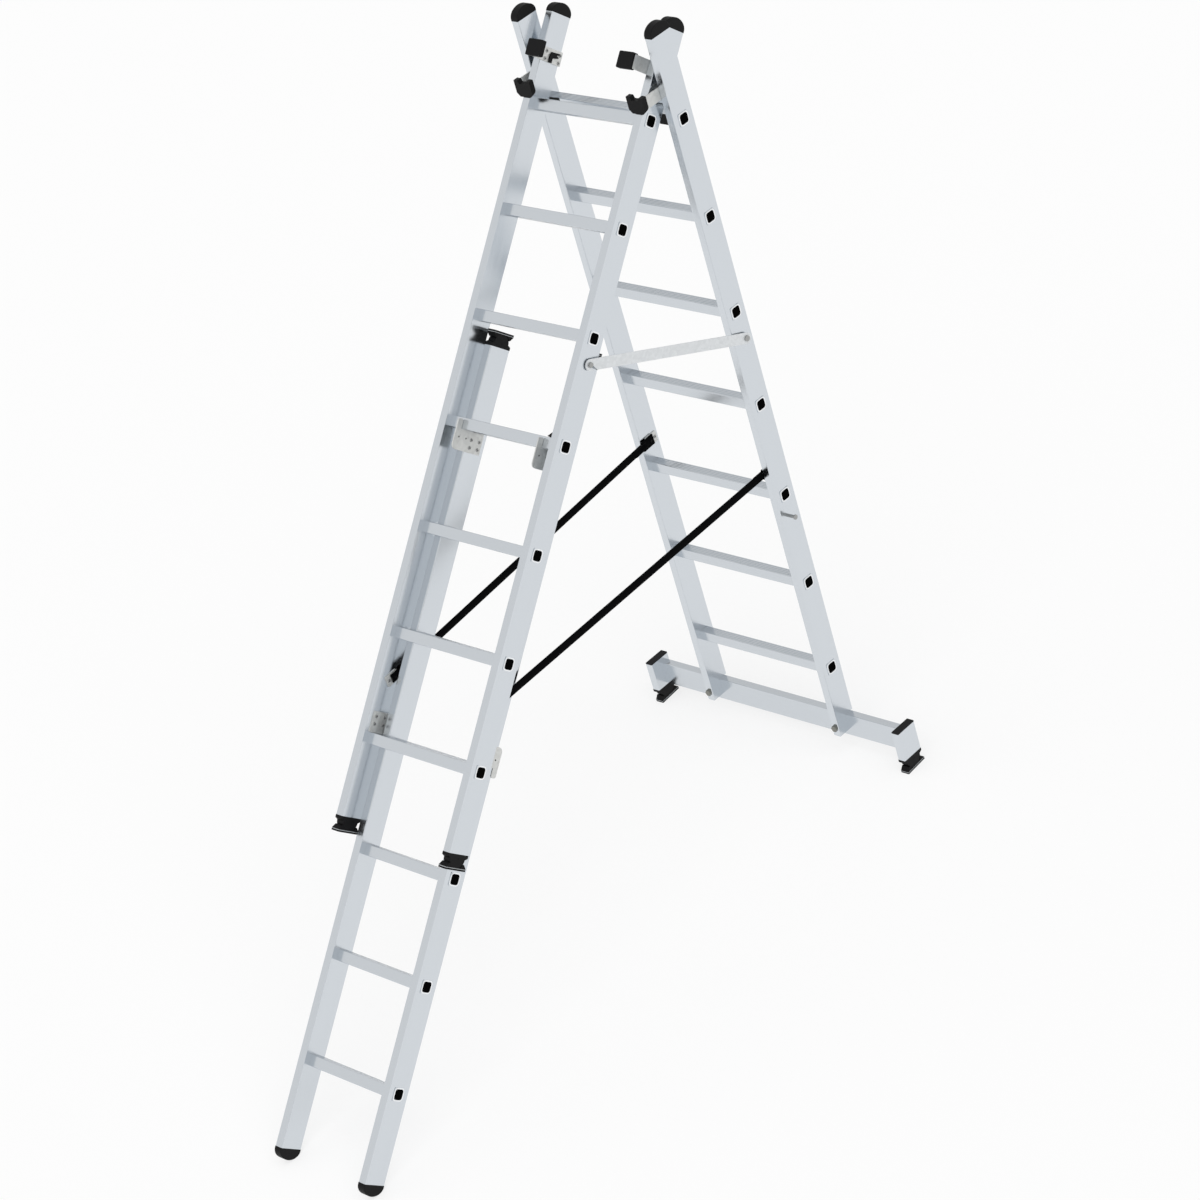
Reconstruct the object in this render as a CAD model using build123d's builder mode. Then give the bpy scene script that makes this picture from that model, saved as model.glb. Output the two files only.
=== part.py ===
import os
from math import asin, atan2, cos, degrees, hypot, radians, sin

from build123d import *

os.makedirs("parts", exist_ok=True)

# All sizes in mm. +X right, +Y to the rear, +Z up, floor at Z = 0.
# Each section is drawn in its own frame: origin on its top rung's axis, x right, y rear, z up the section.

# Section profile, shared by the three sections
RUNG_COUNT = 7
RUNG_PITCH = 280.0
RUNG_SIZE = 30.0
RUNG_WALL = 2.0
RUNG_CORNER = 2.0
GROOVE_WIDTH = 2.2
GROOVE_DEPTH = 0.8
GROOVE_PITCH = 6.0
GROOVE_COUNT = 4
LIP_MARGIN = 3.0
LIP_PROUD = 1.5
STRINGER_WIDTH = 24.0
STRINGER_DEPTH = 70.0
STRINGER_WALL = 2.0
STRINGER_CORNER = 2.0
TOP_REACH = 236.0
FOOT_REACH = 211.0

# Outer width of the rear section, and how far the narrower sections stand in from its stringers
REAR_WIDTH = 494.0
MIDDLE_INSET = 12.0
LOWER_INSET = 16.5

# How the sections stand
SPREAD_DEG = 42.26
HANG_Y = 75.8
HANG_Z = 31.6
LOWER_DROP_RUNGS = 9
NEST_CLEARANCE = 0.4

# Clearances
HOLE_CLEARANCE = 0.05
RUN_CLEARANCE = 0.05
INSERT_CLEARANCE = 0.15
REST_CLEARANCE = 0.3

# Arched end caps: short upright sides, then half an ellipse with a rounded edge
CAP_RISE = 30.5
CAP_SIDE = 4.5
CAP_LIP = 0.6
CAP_EDGE = 1.2
CAP_INSERT = 18.0

# Hinged feet
FOOT_PLATE = 8.0
FOOT_TAPER_HALF = 25.5
FOOT_TAPER_Z = 13.0
FOOT_LOBE_R = 26.0
FOOT_PIN_DROP = 11.5
FOOT_PIN_R = 3.0
FOOT_PIN_SHORT = 0.3
FOOT_SLOT = 14.6
FOOT_SLOT_LENGTH = 36.0
FOOT_SLOT_CUT = 60.0
FOOT_INSERT = 20.0
SOLE_LENGTH = 72.0
SOLE_WIDTH = 26.0
SOLE_DROP = 30.0
SOLE_EDGE = 7.0
SOLE_TOP = 12.5
SOLE_TOP_LENGTH = 53.0
SOLE_GAP = 0.6
TONGUE_WIDTH = 14.0
TONGUE_R = 7.0
TONGUE_NECK = 11.0
TONGUE_FLOOR = 2.0

# Stabiliser across the rear section's foot
POST_OUT = 211.6
POST_ABOVE_BAR = 16.0
POST_BELOW_BAR = 2.0
BAR_DEPTH = 24.0
BAR_HEIGHT = 70.0
BAR_FRONT_Y = 4.0
BAR_BELOW_RUNG = 162.0
POST_CAP_THICK = 3.0
BOLT_R = 5.0
BOLT_HEAD_FLATS = 17.0
BOLT_HEAD_H = 6.5
BOLT_NUT_H = 8.0
BOLT_TAIL = 4.0
BOLT_BELOW_BAR_TOP = 23.0

# Guide straps at the top of the middle and rear sections
GUIDE_THICK = 3.0
MIDDLE_GUIDE_TAIL = 38.0
REAR_GUIDE_TAIL = 30.0
MIDDLE_GUIDE_LOW = 109.0
MIDDLE_GUIDE_HIGH = 146.0
MIDDLE_GUIDE_AHEAD = 18.0
MIDDLE_FLANGE = 43.0
MIDDLE_CAP_AHEAD = 5.0
MIDDLE_CAP_DEPTH = 14.0
MIDDLE_CAP_LOW = 106.5
MIDDLE_CAP_HIGH = 149.5
MIDDLE_CAP_WIDTH = 51.0
MIDDLE_CAP_CORNER = 4.0
MIDDLE_CAP_OVERHANG = -1.0
SLOT_PAST = 1.0
REAR_GUIDE_LOW = 67.0
REAR_GUIDE_HIGH = 101.0
REAR_FLANGE_HIGH = 87.0
REAR_GUIDE_AHEAD = 23.0
REAR_FLANGE = 49.0
REAR_CAP_AHEAD = 8.0
REAR_CAP_DEPTH = 15.0
REAR_CAP_LOW = 58.0
REAR_CAP_HIGH = 104.0
REAR_CAP_WIDTH = 56.0
REAR_CAP_OVERHANG = 4.0
REAR_CAP_LEAD = 73.0
REAR_CAP_TOE_THICK = 2.5
REAR_CAP_NOTCH_TOP = 30.0
REAR_CAP_NOTCH_BASE = 22.0
REAR_CAP_NOTCH_DEPTH = 9.0
REAR_CAP_CHAMFER = 10.0

# Pads under the rear section's top rung, where the middle section's stringers come to lie
PAD_WALL = 2.15
PAD_TOP = 14.0
PAD_REAR = 6.0
PAD_CORNER = 4.0
PAD_INBOARD = 11.0
PAD_OVERLAP = 2.0

# Hinge pins hidden between the stringers
HINGE_PIN_R = 4.0
HINGE_PIN_DEPTH = 7.0
HINGE_PIN_ROOT = 4.0

# Hook plates at the foot ends
HOOK_THICK = 3.0
HOOK_BACK = -20.0
HOOK_TOP = 70.0
HOOK_FINGER = 18.0
HOOK_FINGER_CLEARANCE = 0.6
HOOK_TIP = -10.0
HOOK_TIP_CHAMFER = 4.0
HOOK_CORNER = 14.0

# Rivets: the hook plates' places are from the lowest rung, the guide straps' from the top rung
RIVET_R = 5.0
RIVET_H = 2.4
HOOK_RIVET_YS = (-9.5, 20.5)
HOOK_RIVET_ZS = (37.0, 57.0)
MIDDLE_GUIDE_RIVET_YS = (-21.0, 30.0)
MIDDLE_GUIDE_RIVET_ZS = (116.0, 136.0)
REAR_GUIDE_RIVET_YS = (-14.0, 16.0)
REAR_GUIDE_RIVET_ZS = (76.0, 92.0)

# Strut on the right-hand side
STRUT_WIDTH = 30.0
STRUT_THICK = 3.0
STRUT_REAR_OUT = 7.5
STRUT_REAR_Y = 5.0
STRUT_REAR_BELOW_RUNG = 81.0
STRUT_FRONT_OUT = 5.0
STRUT_FRONT_Y = 5.0
STRUT_FRONT_BELOW_RUNG = 66.0
STRUT_RIVET_R = 4.0
STRUT_RIVET_HEAD_R = 8.0
STRUT_RIVET_HEAD_H = 2.5
STRUT_SLOT_DEG = 41.0
STUD_R = 4.5
STUD_CLEARANCE = 0.45
STUD_HEAD_R = 7.0
STUD_HEAD_H = 3.0
STUD_HEAD_GAP = 1.2
STRUT_SPACER_R = 9.0
PARK_Y = -9.0
PARK_OUT = 24.5

# Webbing straps
WEB_WIDTH = 24.0
WEB_THICK = 2.0
WEB_TAIL = 4.0
WEB_FLAT = 24.0
WEB_DOUBLE = 75.0
WEB_MIDDLE_Y = 12.0
WEB_MIDDLE_BELOW_RUNG = 118.0
WEB_REAR_Y = 7.0
WEB_REAR_ABOVE_RUNG = 77.0
WEB_PLATE_LENGTH = 42.0
WEB_PLATE_WIDTH = 32.0
WEB_PLATE_THICK = 2.5
WEB_PLATE_CORNER = 4.0
PLATE_RIVET = 13.0
WEB_RIVET = 8.0

# Derived sizes
MIDDLE_WIDTH = REAR_WIDTH - 2 * STRINGER_WIDTH - 2 * MIDDLE_INSET
LOWER_WIDTH = MIDDLE_WIDTH - 2 * STRINGER_WIDTH - 2 * LOWER_INSET
NEST = RUNG_SIZE / 2 + STRINGER_DEPTH / 2 + NEST_CLEARANCE
HALF_DEPTH = STRINGER_DEPTH / 2
LIP_SIZE = RUNG_SIZE + 2 * LIP_MARGIN
PAD_BORE = RUNG_SIZE + 2 * HOLE_CLEARANCE
PAD_SIZE = PAD_BORE + 2 * PAD_WALL
MIDDLE_GUIDE_REACH = STRINGER_DEPTH + MIDDLE_GUIDE_AHEAD
MIDDLE_CAP_FRONT = MIDDLE_GUIDE_REACH + MIDDLE_CAP_AHEAD
MIDDLE_CAP_BACK = MIDDLE_CAP_FRONT - MIDDLE_CAP_DEPTH
REAR_GUIDE_REACH = STRINGER_DEPTH + REAR_GUIDE_AHEAD
REAR_CAP_FRONT = REAR_GUIDE_REACH + REAR_CAP_AHEAD
REAR_CAP_BACK = REAR_CAP_FRONT - REAR_CAP_DEPTH
REAR_CAP_TOE = REAR_CAP_FRONT - REAR_CAP_TOE_THICK
FOOT_Z = -(RUNG_COUNT - 1) * RUNG_PITCH - FOOT_REACH
LOW_RUNG_Z = -(RUNG_COUNT - 1) * RUNG_PITCH
POST_X = REAR_WIDTH / 2 + POST_OUT
BAR_TOP = BAR_BELOW_RUNG - LOW_RUNG_Z
POST_TOP = BAR_TOP - POST_ABOVE_BAR
POST_BOTTOM = BAR_TOP + BAR_HEIGHT + POST_BELOW_BAR
BOLT_Z = -BAR_TOP - BOLT_BELOW_BAR_TOP
HOOK_REACH = NEST + RUNG_SIZE / 2 + HOOK_FINGER_CLEARANCE + HOOK_FINGER
PAD_INNER_X = MIDDLE_WIDTH / 2 - STRINGER_WIDTH - PAD_INBOARD
PAD_OUTER_X = MIDDLE_WIDTH / 2 + PAD_OVERLAP
STRUT_REAR_X = REAR_WIDTH / 2 + STRUT_REAR_OUT
STRUT_REAR_Z = -2 * RUNG_PITCH - STRUT_REAR_BELOW_RUNG
STRUT_FRONT_X = MIDDLE_WIDTH / 2 + STRUT_FRONT_OUT
STRUT_FRONT_Z = -2 * RUNG_PITCH - STRUT_FRONT_BELOW_RUNG
PARK_REACH = REAR_WIDTH / 2 + PARK_OUT
WEB_MIDDLE_Z = -5 * RUNG_PITCH - WEB_MIDDLE_BELOW_RUNG
WEB_REAR_Z = -4 * RUNG_PITCH + WEB_REAR_ABOVE_RUNG
STRINGER_LENGTH = TOP_REACH - FOOT_Z
CAP_HALF = HALF_DEPTH + CAP_LIP
CAP_ARCH = CAP_RISE - CAP_SIDE
CAP_CENTRE = TOP_REACH + CAP_SIDE
SOLE_PIN_Z = -POST_BOTTOM - FOOT_PIN_DROP

# Lean of the rear section: floor touches the lower section's arched caps and the stabiliser's soles.
# How far an arch reaches down from its centre depends on the lean, so the lean is found in rounds.
LEAN_ROUNDS = 12
SPREAD = radians(SPREAD_DEG)
CAP_REL_Y = NEST - HANG_Y
CAP_REL_Z = -LOWER_DROP_RUNGS * RUNG_PITCH - CAP_CENTRE - HANG_Z
CAP_Y = CAP_REL_Y * cos(SPREAD) + CAP_REL_Z * sin(SPREAD)
CAP_Z = -CAP_REL_Y * sin(SPREAD) + CAP_REL_Z * cos(SPREAD)
LEG_OUT = -CAP_Y
LEG_DOWN = SOLE_PIN_Z - CAP_Z
REAR_LEAN = 0.0
for _ in range(LEAN_ROUNDS):
    CAP_REACH = hypot(CAP_HALF * sin(REAR_LEAN + SPREAD), CAP_ARCH * cos(REAR_LEAN + SPREAD))
    REAR_LEAN = asin((CAP_REACH - SOLE_DROP) / hypot(LEG_OUT, LEG_DOWN)) + atan2(LEG_DOWN, LEG_OUT)
FRONT_LEAN = REAR_LEAN + SPREAD
HANGER_Z = SOLE_DROP - SOLE_PIN_Z * cos(REAR_LEAN)
TOP_CAP_Y = -HANG_Y * cos(FRONT_LEAN) + (CAP_CENTRE - HANG_Z) * sin(FRONT_LEAN)
LOW_CAP_Y = CAP_REL_Y * cos(FRONT_LEAN) + CAP_REL_Z * sin(FRONT_LEAN)
HANGER_Y = -(TOP_CAP_Y + LOW_CAP_Y) / 2

REAR = Plane(
    origin=(0, HANGER_Y, HANGER_Z), x_dir=(1, 0, 0), z_dir=(0, sin(REAR_LEAN), cos(REAR_LEAN))
)
MIDDLE_ORIGIN = (
    0,
    HANGER_Y - HANG_Y * cos(FRONT_LEAN) - HANG_Z * sin(FRONT_LEAN),
    HANGER_Z + HANG_Y * sin(FRONT_LEAN) - HANG_Z * cos(FRONT_LEAN),
)
MIDDLE = Plane(
    origin=MIDDLE_ORIGIN, x_dir=(1, 0, 0), z_dir=(0, sin(FRONT_LEAN), cos(FRONT_LEAN))
)
LOWER = Plane(
    origin=MIDDLE.from_local_coords((0, NEST, -LOWER_DROP_RUNGS * RUNG_PITCH)),
    x_dir=(1, 0, 0),
    z_dir=(0, -sin(FRONT_LEAN), -cos(FRONT_LEAN)),
)

# Fold axis: the point that carries the open pose into the nested one
FOLD_A = cos(SPREAD) - 1
FOLD_B = sin(SPREAD)
FOLD_P = NEST - HANG_Y
FOLD_U = (FOLD_A * FOLD_P + FOLD_B * HANG_Z) / (FOLD_A**2 + FOLD_B**2)
FOLD_W = (FOLD_B * FOLD_P - FOLD_A * HANG_Z) / (FOLD_A**2 + FOLD_B**2)
FOLD_MIDDLE_Y = HANG_Y - FOLD_U
FOLD_MIDDLE_Z = HANG_Z - FOLD_W
FOLD_REAR_Y = -FOLD_U * cos(SPREAD) - FOLD_W * sin(SPREAD)
FOLD_REAR_Z = FOLD_U * sin(SPREAD) - FOLD_W * cos(SPREAD)


def side_on(frame, x, y=0.0, z=0.0):
    """Plane at a point of a section: sketch axes are the section's y and z, normal is +x."""
    return Plane(origin=frame.from_local_coords((x, y, z)), x_dir=frame.y_dir, z_dir=frame.x_dir)


def end_on(frame, x, y, z):
    """Plane across a section: sketch axes are x and y, normal is the section's +z."""
    return Plane(origin=frame.from_local_coords((x, y, z)), x_dir=frame.x_dir, z_dir=frame.z_dir)


def face_on(frame, x, y, z):
    """Plane on a section's face: sketch axes are x and z, normal is the section's -y."""
    return Plane(origin=frame.from_local_coords((x, y, z)), x_dir=frame.x_dir, z_dir=-frame.y_dir)


SECTIONS = [
    ("rear", REAR, REAR_WIDTH),
    ("middle", MIDDLE, MIDDLE_WIDTH),
    ("lower", LOWER, LOWER_WIDTH),
]
SIDES = [("left", -1), ("right", 1)]

# Stringers: box tubes with a square hole at every rung
for name, frame, width in SECTIONS:
    for side, sign in SIDES:
        centre_x = sign * (width - STRINGER_WIDTH) / 2
        with BuildPart() as stringer:
            with BuildSketch(end_on(frame, centre_x, 0, FOOT_Z)):
                RectangleRounded(STRINGER_WIDTH, STRINGER_DEPTH, STRINGER_CORNER)
                Rectangle(
                    STRINGER_WIDTH - 2 * STRINGER_WALL,
                    STRINGER_DEPTH - 2 * STRINGER_WALL,
                    mode=Mode.SUBTRACT,
                )
            extrude(amount=STRINGER_LENGTH)
            for index in range(RUNG_COUNT):
                with BuildSketch(side_on(frame, centre_x, 0, -index * RUNG_PITCH)):
                    RectangleRounded(
                        RUNG_SIZE + 2 * HOLE_CLEARANCE, RUNG_SIZE + 2 * HOLE_CLEARANCE, RUNG_CORNER
                    )
                extrude(amount=STRINGER_WIDTH, both=True, mode=Mode.SUBTRACT)
            if name == "rear":
                with BuildSketch(side_on(frame, centre_x, 0, 0)):
                    notch_y = BAR_FRONT_Y + HALF_DEPTH - HOLE_CLEARANCE
                    with Locations((notch_y, HOLE_CLEARANCE - BAR_TOP - FOOT_REACH / 2)):
                        Rectangle(STRINGER_DEPTH, FOOT_REACH)
                extrude(amount=STRINGER_WIDTH, both=True, mode=Mode.SUBTRACT)
                with BuildSketch(face_on(frame, centre_x, 0, BOLT_Z)):
                    Circle(BOLT_R + HOLE_CLEARANCE)
                extrude(amount=STRINGER_DEPTH, mode=Mode.SUBTRACT)
                with BuildSketch(side_on(frame, centre_x, FOLD_REAR_Y, FOLD_REAR_Z)):
                    Circle(HINGE_PIN_R + HOLE_CLEARANCE)
                extrude(amount=-sign * STRINGER_WIDTH, mode=Mode.SUBTRACT)
            if name == "middle":
                with BuildSketch(side_on(frame, centre_x, FOLD_MIDDLE_Y, FOLD_MIDDLE_Z)):
                    Circle(HINGE_PIN_R + RUN_CLEARANCE)
                extrude(amount=sign * STRINGER_WIDTH, mode=Mode.SUBTRACT)
        stringer.part.label = f"{name}_stringer_{side}"
        export_step(stringer.part, f"parts/{name}_stringer_{side}.step")

# Rungs: grooved square tubes whose ends are flared over the stringers
for name, frame, width in SECTIONS:
    for index in range(RUNG_COUNT):
        with BuildPart() as rung:
            with BuildSketch(side_on(frame, 0, 0, -index * RUNG_PITCH)):
                RectangleRounded(RUNG_SIZE, RUNG_SIZE, RUNG_CORNER)
                Rectangle(RUNG_SIZE - 2 * RUNG_WALL, RUNG_SIZE - 2 * RUNG_WALL, mode=Mode.SUBTRACT)
                for groove in range(GROOVE_COUNT):
                    groove_y = (groove - (GROOVE_COUNT - 1) / 2) * GROOVE_PITCH
                    with Locations((groove_y, RUNG_SIZE / 2), (groove_y, -RUNG_SIZE / 2)):
                        Rectangle(GROOVE_WIDTH, 2 * GROOVE_DEPTH, mode=Mode.SUBTRACT)
            extrude(amount=width / 2 + LIP_PROUD, both=True)
            for side, sign in SIDES:
                with BuildSketch(side_on(frame, sign * width / 2, 0, -index * RUNG_PITCH)):
                    RectangleRounded(LIP_SIZE, LIP_SIZE, 2 * RUNG_CORNER)
                    Rectangle(
                        RUNG_SIZE - 2 * RUNG_WALL, RUNG_SIZE - 2 * RUNG_WALL, mode=Mode.SUBTRACT
                    )
                extrude(amount=sign * LIP_PROUD)
        rung.part.label = f"{name}_rung_{index + 1}"
        export_step(rung.part, f"parts/{name}_rung_{index + 1}.step")

# Arched end caps, and on the rear section the flat caps of the stabiliser posts
for name, frame, width in SECTIONS:
    with BuildPart() as caps:
        for side, sign in SIDES:
            centre_x = sign * (width - STRINGER_WIDTH) / 2
            with BuildSketch(side_on(frame, centre_x, 0, TOP_REACH)):
                with BuildLine():
                    EllipticalCenterArc((0, CAP_SIDE), CAP_HALF, CAP_ARCH, arc_size=180)
                    Polyline((-CAP_HALF, CAP_SIDE), (-CAP_HALF, 0), (CAP_HALF, 0), (CAP_HALF, CAP_SIDE))
                make_face()
            extrude(amount=STRINGER_WIDTH / 2, both=True)
            with BuildSketch(end_on(frame, centre_x, 0, TOP_REACH)):
                Rectangle(
                    STRINGER_WIDTH - 2 * STRINGER_WALL - 2 * INSERT_CLEARANCE,
                    STRINGER_DEPTH - 2 * STRINGER_WALL - 2 * INSERT_CLEARANCE,
                )
            extrude(amount=-CAP_INSERT)
            if name == "rear":
                with BuildSketch(end_on(frame, sign * POST_X, 0, -POST_TOP)):
                    RectangleRounded(STRINGER_WIDTH, STRINGER_DEPTH, STRINGER_CORNER)
                extrude(amount=POST_CAP_THICK)
                with BuildSketch(end_on(frame, sign * POST_X, 0, -POST_TOP)):
                    Rectangle(
                        STRINGER_WIDTH - 2 * STRINGER_WALL - 2 * INSERT_CLEARANCE,
                        STRINGER_DEPTH - 2 * STRINGER_WALL - 2 * INSERT_CLEARANCE,
                    )
                extrude(amount=-CAP_INSERT)
        fillet(caps.edges().filter_by(GeomType.ELLIPSE), CAP_EDGE)
    caps.part.label = f"{name}_end_caps"
    export_step(caps.part, f"parts/{name}_end_caps.step")

# Foot holders with their cross pins
FEET = [
    ("middle", MIDDLE, (MIDDLE_WIDTH - STRINGER_WIDTH) / 2, FOOT_Z),
    ("lower", LOWER, (LOWER_WIDTH - STRINGER_WIDTH) / 2, FOOT_Z),
    ("stabiliser", REAR, POST_X, -POST_BOTTOM),
]
for name, frame, reach, end_z in FEET:
    with BuildPart() as holders:
        for side, sign in SIDES:
            foot_x = sign * reach
            with BuildSketch(side_on(frame, foot_x, 0, end_z)):
                Polygon(
                    (-HALF_DEPTH, 0),
                    (HALF_DEPTH, 0),
                    (HALF_DEPTH, -FOOT_PLATE),
                    (FOOT_TAPER_HALF, -FOOT_TAPER_Z),
                    (-FOOT_TAPER_HALF, -FOOT_TAPER_Z),
                    (-HALF_DEPTH, -FOOT_PLATE),
                )
                with Locations((0, -FOOT_PIN_DROP)):
                    Circle(FOOT_LOBE_R)
                with Locations((0, FOOT_LOBE_R)):
                    Rectangle(STRINGER_DEPTH, 2 * FOOT_LOBE_R, mode=Mode.SUBTRACT)
            extrude(amount=STRINGER_WIDTH / 2, both=True)
            with BuildSketch(end_on(frame, foot_x, 0, end_z)):
                Rectangle(
                    STRINGER_WIDTH - 2 * STRINGER_WALL - 2 * INSERT_CLEARANCE,
                    STRINGER_DEPTH - 2 * STRINGER_WALL - 2 * INSERT_CLEARANCE,
                )
            extrude(amount=FOOT_INSERT)
            slot_top = end_z - FOOT_PIN_DROP + TONGUE_R + 2 * SOLE_GAP
            with BuildSketch(end_on(frame, foot_x, 0, slot_top)):
                Rectangle(FOOT_SLOT, FOOT_SLOT_LENGTH)
            extrude(amount=-FOOT_SLOT_CUT, mode=Mode.SUBTRACT)
            with BuildSketch(side_on(frame, foot_x, 0, end_z - FOOT_PIN_DROP)):
                Circle(FOOT_PIN_R + HOLE_CLEARANCE / 2)
            extrude(amount=STRINGER_WIDTH, both=True, mode=Mode.SUBTRACT)
            with BuildSketch(side_on(frame, foot_x, 0, end_z - FOOT_PIN_DROP)):
                Circle(FOOT_PIN_R)
            extrude(amount=STRINGER_WIDTH / 2 - FOOT_PIN_SHORT, both=True)
    holders.part.label = f"{name}_foot_holders"
    export_step(holders.part, f"parts/{name}_foot_holders.step")

# Soles that rock on the cross pins; the stabiliser's lie flat on the floor
for name, frame, reach, end_z in FEET:
    for side, sign in SIDES:
        pin_point = frame.from_local_coords((sign * reach, 0, end_z - FOOT_PIN_DROP))
        up = (0, 0, 1) if name == "stabiliser" else frame.z_dir
        sole_frame = Plane(origin=pin_point, x_dir=(1, 0, 0), z_dir=up)
        with BuildPart() as sole:
            with BuildSketch(side_on(sole_frame, 0)):
                Polygon(
                    (-SOLE_LENGTH / 2, -SOLE_DROP),
                    (SOLE_LENGTH / 2, -SOLE_DROP),
                    (SOLE_LENGTH / 2, SOLE_EDGE - SOLE_DROP),
                    (SOLE_TOP_LENGTH / 2, -SOLE_TOP),
                    (-SOLE_TOP_LENGTH / 2, -SOLE_TOP),
                    (-SOLE_LENGTH / 2, SOLE_EDGE - SOLE_DROP),
                )
                Circle(FOOT_LOBE_R + SOLE_GAP, mode=Mode.SUBTRACT)
            extrude(amount=SOLE_WIDTH / 2, both=True)
            with BuildSketch(side_on(sole_frame, 0)):
                Circle(TONGUE_R)
                with Locations((0, (TONGUE_FLOOR - SOLE_DROP) / 2)):
                    Rectangle(TONGUE_NECK, SOLE_DROP - TONGUE_FLOOR)
            extrude(amount=TONGUE_WIDTH / 2, both=True)
            with BuildSketch(side_on(sole_frame, 0)):
                Circle(FOOT_PIN_R + RUN_CLEARANCE)
            extrude(amount=SOLE_WIDTH, both=True, mode=Mode.SUBTRACT)
        sole.part.label = f"{name}_sole_{side}"
        export_step(sole.part, f"parts/{name}_sole_{side}.step")

# Stabiliser bar, its posts and its bolts
with BuildPart() as stabiliser_bar:
    BAR_LENGTH = 2 * POST_X - STRINGER_WIDTH
    with BuildSketch(side_on(REAR, 0, BAR_FRONT_Y + BAR_DEPTH / 2, -BAR_TOP - BAR_HEIGHT / 2)):
        RectangleRounded(BAR_DEPTH, BAR_HEIGHT, STRINGER_CORNER)
        Rectangle(BAR_DEPTH - 2 * STRINGER_WALL, BAR_HEIGHT - 2 * STRINGER_WALL, mode=Mode.SUBTRACT)
    extrude(amount=BAR_LENGTH / 2, both=True)
    for side, sign in SIDES:
        with BuildSketch(face_on(REAR, sign * (REAR_WIDTH - STRINGER_WIDTH) / 2, 0, BOLT_Z)):
            Circle(BOLT_R + HOLE_CLEARANCE)
        extrude(amount=-2 * BAR_DEPTH, mode=Mode.SUBTRACT)
stabiliser_bar.part.label = "stabiliser_bar"
export_step(stabiliser_bar.part, "parts/stabiliser_bar.step")

with BuildPart() as stabiliser_posts:
    for side, sign in SIDES:
        with BuildSketch(end_on(REAR, sign * POST_X, 0, -POST_BOTTOM)):
            RectangleRounded(STRINGER_WIDTH, STRINGER_DEPTH, STRINGER_CORNER)
            Rectangle(
                STRINGER_WIDTH - 2 * STRINGER_WALL, STRINGER_DEPTH - 2 * STRINGER_WALL, mode=Mode.SUBTRACT
            )
        extrude(amount=POST_BOTTOM - POST_TOP)
stabiliser_posts.part.label = "stabiliser_posts"
export_step(stabiliser_posts.part, "parts/stabiliser_posts.step")

with BuildPart() as stabiliser_bolts:
    BAR_BACK_Y = BAR_FRONT_Y + BAR_DEPTH
    for side, sign in SIDES:
        bolt_x = sign * (REAR_WIDTH - STRINGER_WIDTH) / 2
        with BuildSketch(face_on(REAR, bolt_x, -HALF_DEPTH, BOLT_Z)):
            RegularPolygon(BOLT_HEAD_FLATS / 2, 6, major_radius=False)
        extrude(amount=BOLT_HEAD_H)
        with BuildSketch(face_on(REAR, bolt_x, -HALF_DEPTH, BOLT_Z)):
            Circle(BOLT_R)
        extrude(amount=-(HALF_DEPTH + BAR_BACK_Y + BOLT_NUT_H + BOLT_TAIL))
        with BuildSketch(face_on(REAR, bolt_x, BAR_BACK_Y, BOLT_Z)):
            RegularPolygon(BOLT_HEAD_FLATS / 2, 6, major_radius=False)
        extrude(amount=-BOLT_NUT_H)
stabiliser_bolts.part.label = "stabiliser_bolts"
export_step(stabiliser_bolts.part, "parts/stabiliser_bolts.step")

# Guide straps: flat steel along the stringer's inner face, forward, then turned inward
GUIDES = [
    ("middle", MIDDLE, MIDDLE_WIDTH, MIDDLE_GUIDE_LOW, MIDDLE_GUIDE_HIGH, MIDDLE_GUIDE_HIGH,
     MIDDLE_GUIDE_REACH, MIDDLE_FLANGE, MIDDLE_GUIDE_TAIL),
    ("rear", REAR, REAR_WIDTH, REAR_GUIDE_LOW, REAR_GUIDE_HIGH, REAR_FLANGE_HIGH,
     REAR_GUIDE_REACH, REAR_FLANGE, REAR_GUIDE_TAIL),
]
for name, frame, width, low, high, flange_high, reach, flange, tail in GUIDES:
    inner = width / 2 - STRINGER_WIDTH
    with BuildPart() as guides:
        for side, sign in SIDES:
            with BuildSketch(side_on(frame, sign * inner)):
                with Locations(((tail - reach) / 2, (low + high) / 2)):
                    Rectangle(tail + reach, high - low)
            extrude(amount=-sign * GUIDE_THICK)
            with BuildSketch(face_on(frame, sign * (inner - flange / 2), GUIDE_THICK - reach, 0)):
                with Locations((0, (low + flange_high) / 2)):
                    Rectangle(flange, flange_high - low)
            extrude(amount=GUIDE_THICK)
    guides.part.label = f"{name}_guide_straps"
    export_step(guides.part, f"parts/{name}_guide_straps.step")

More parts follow.
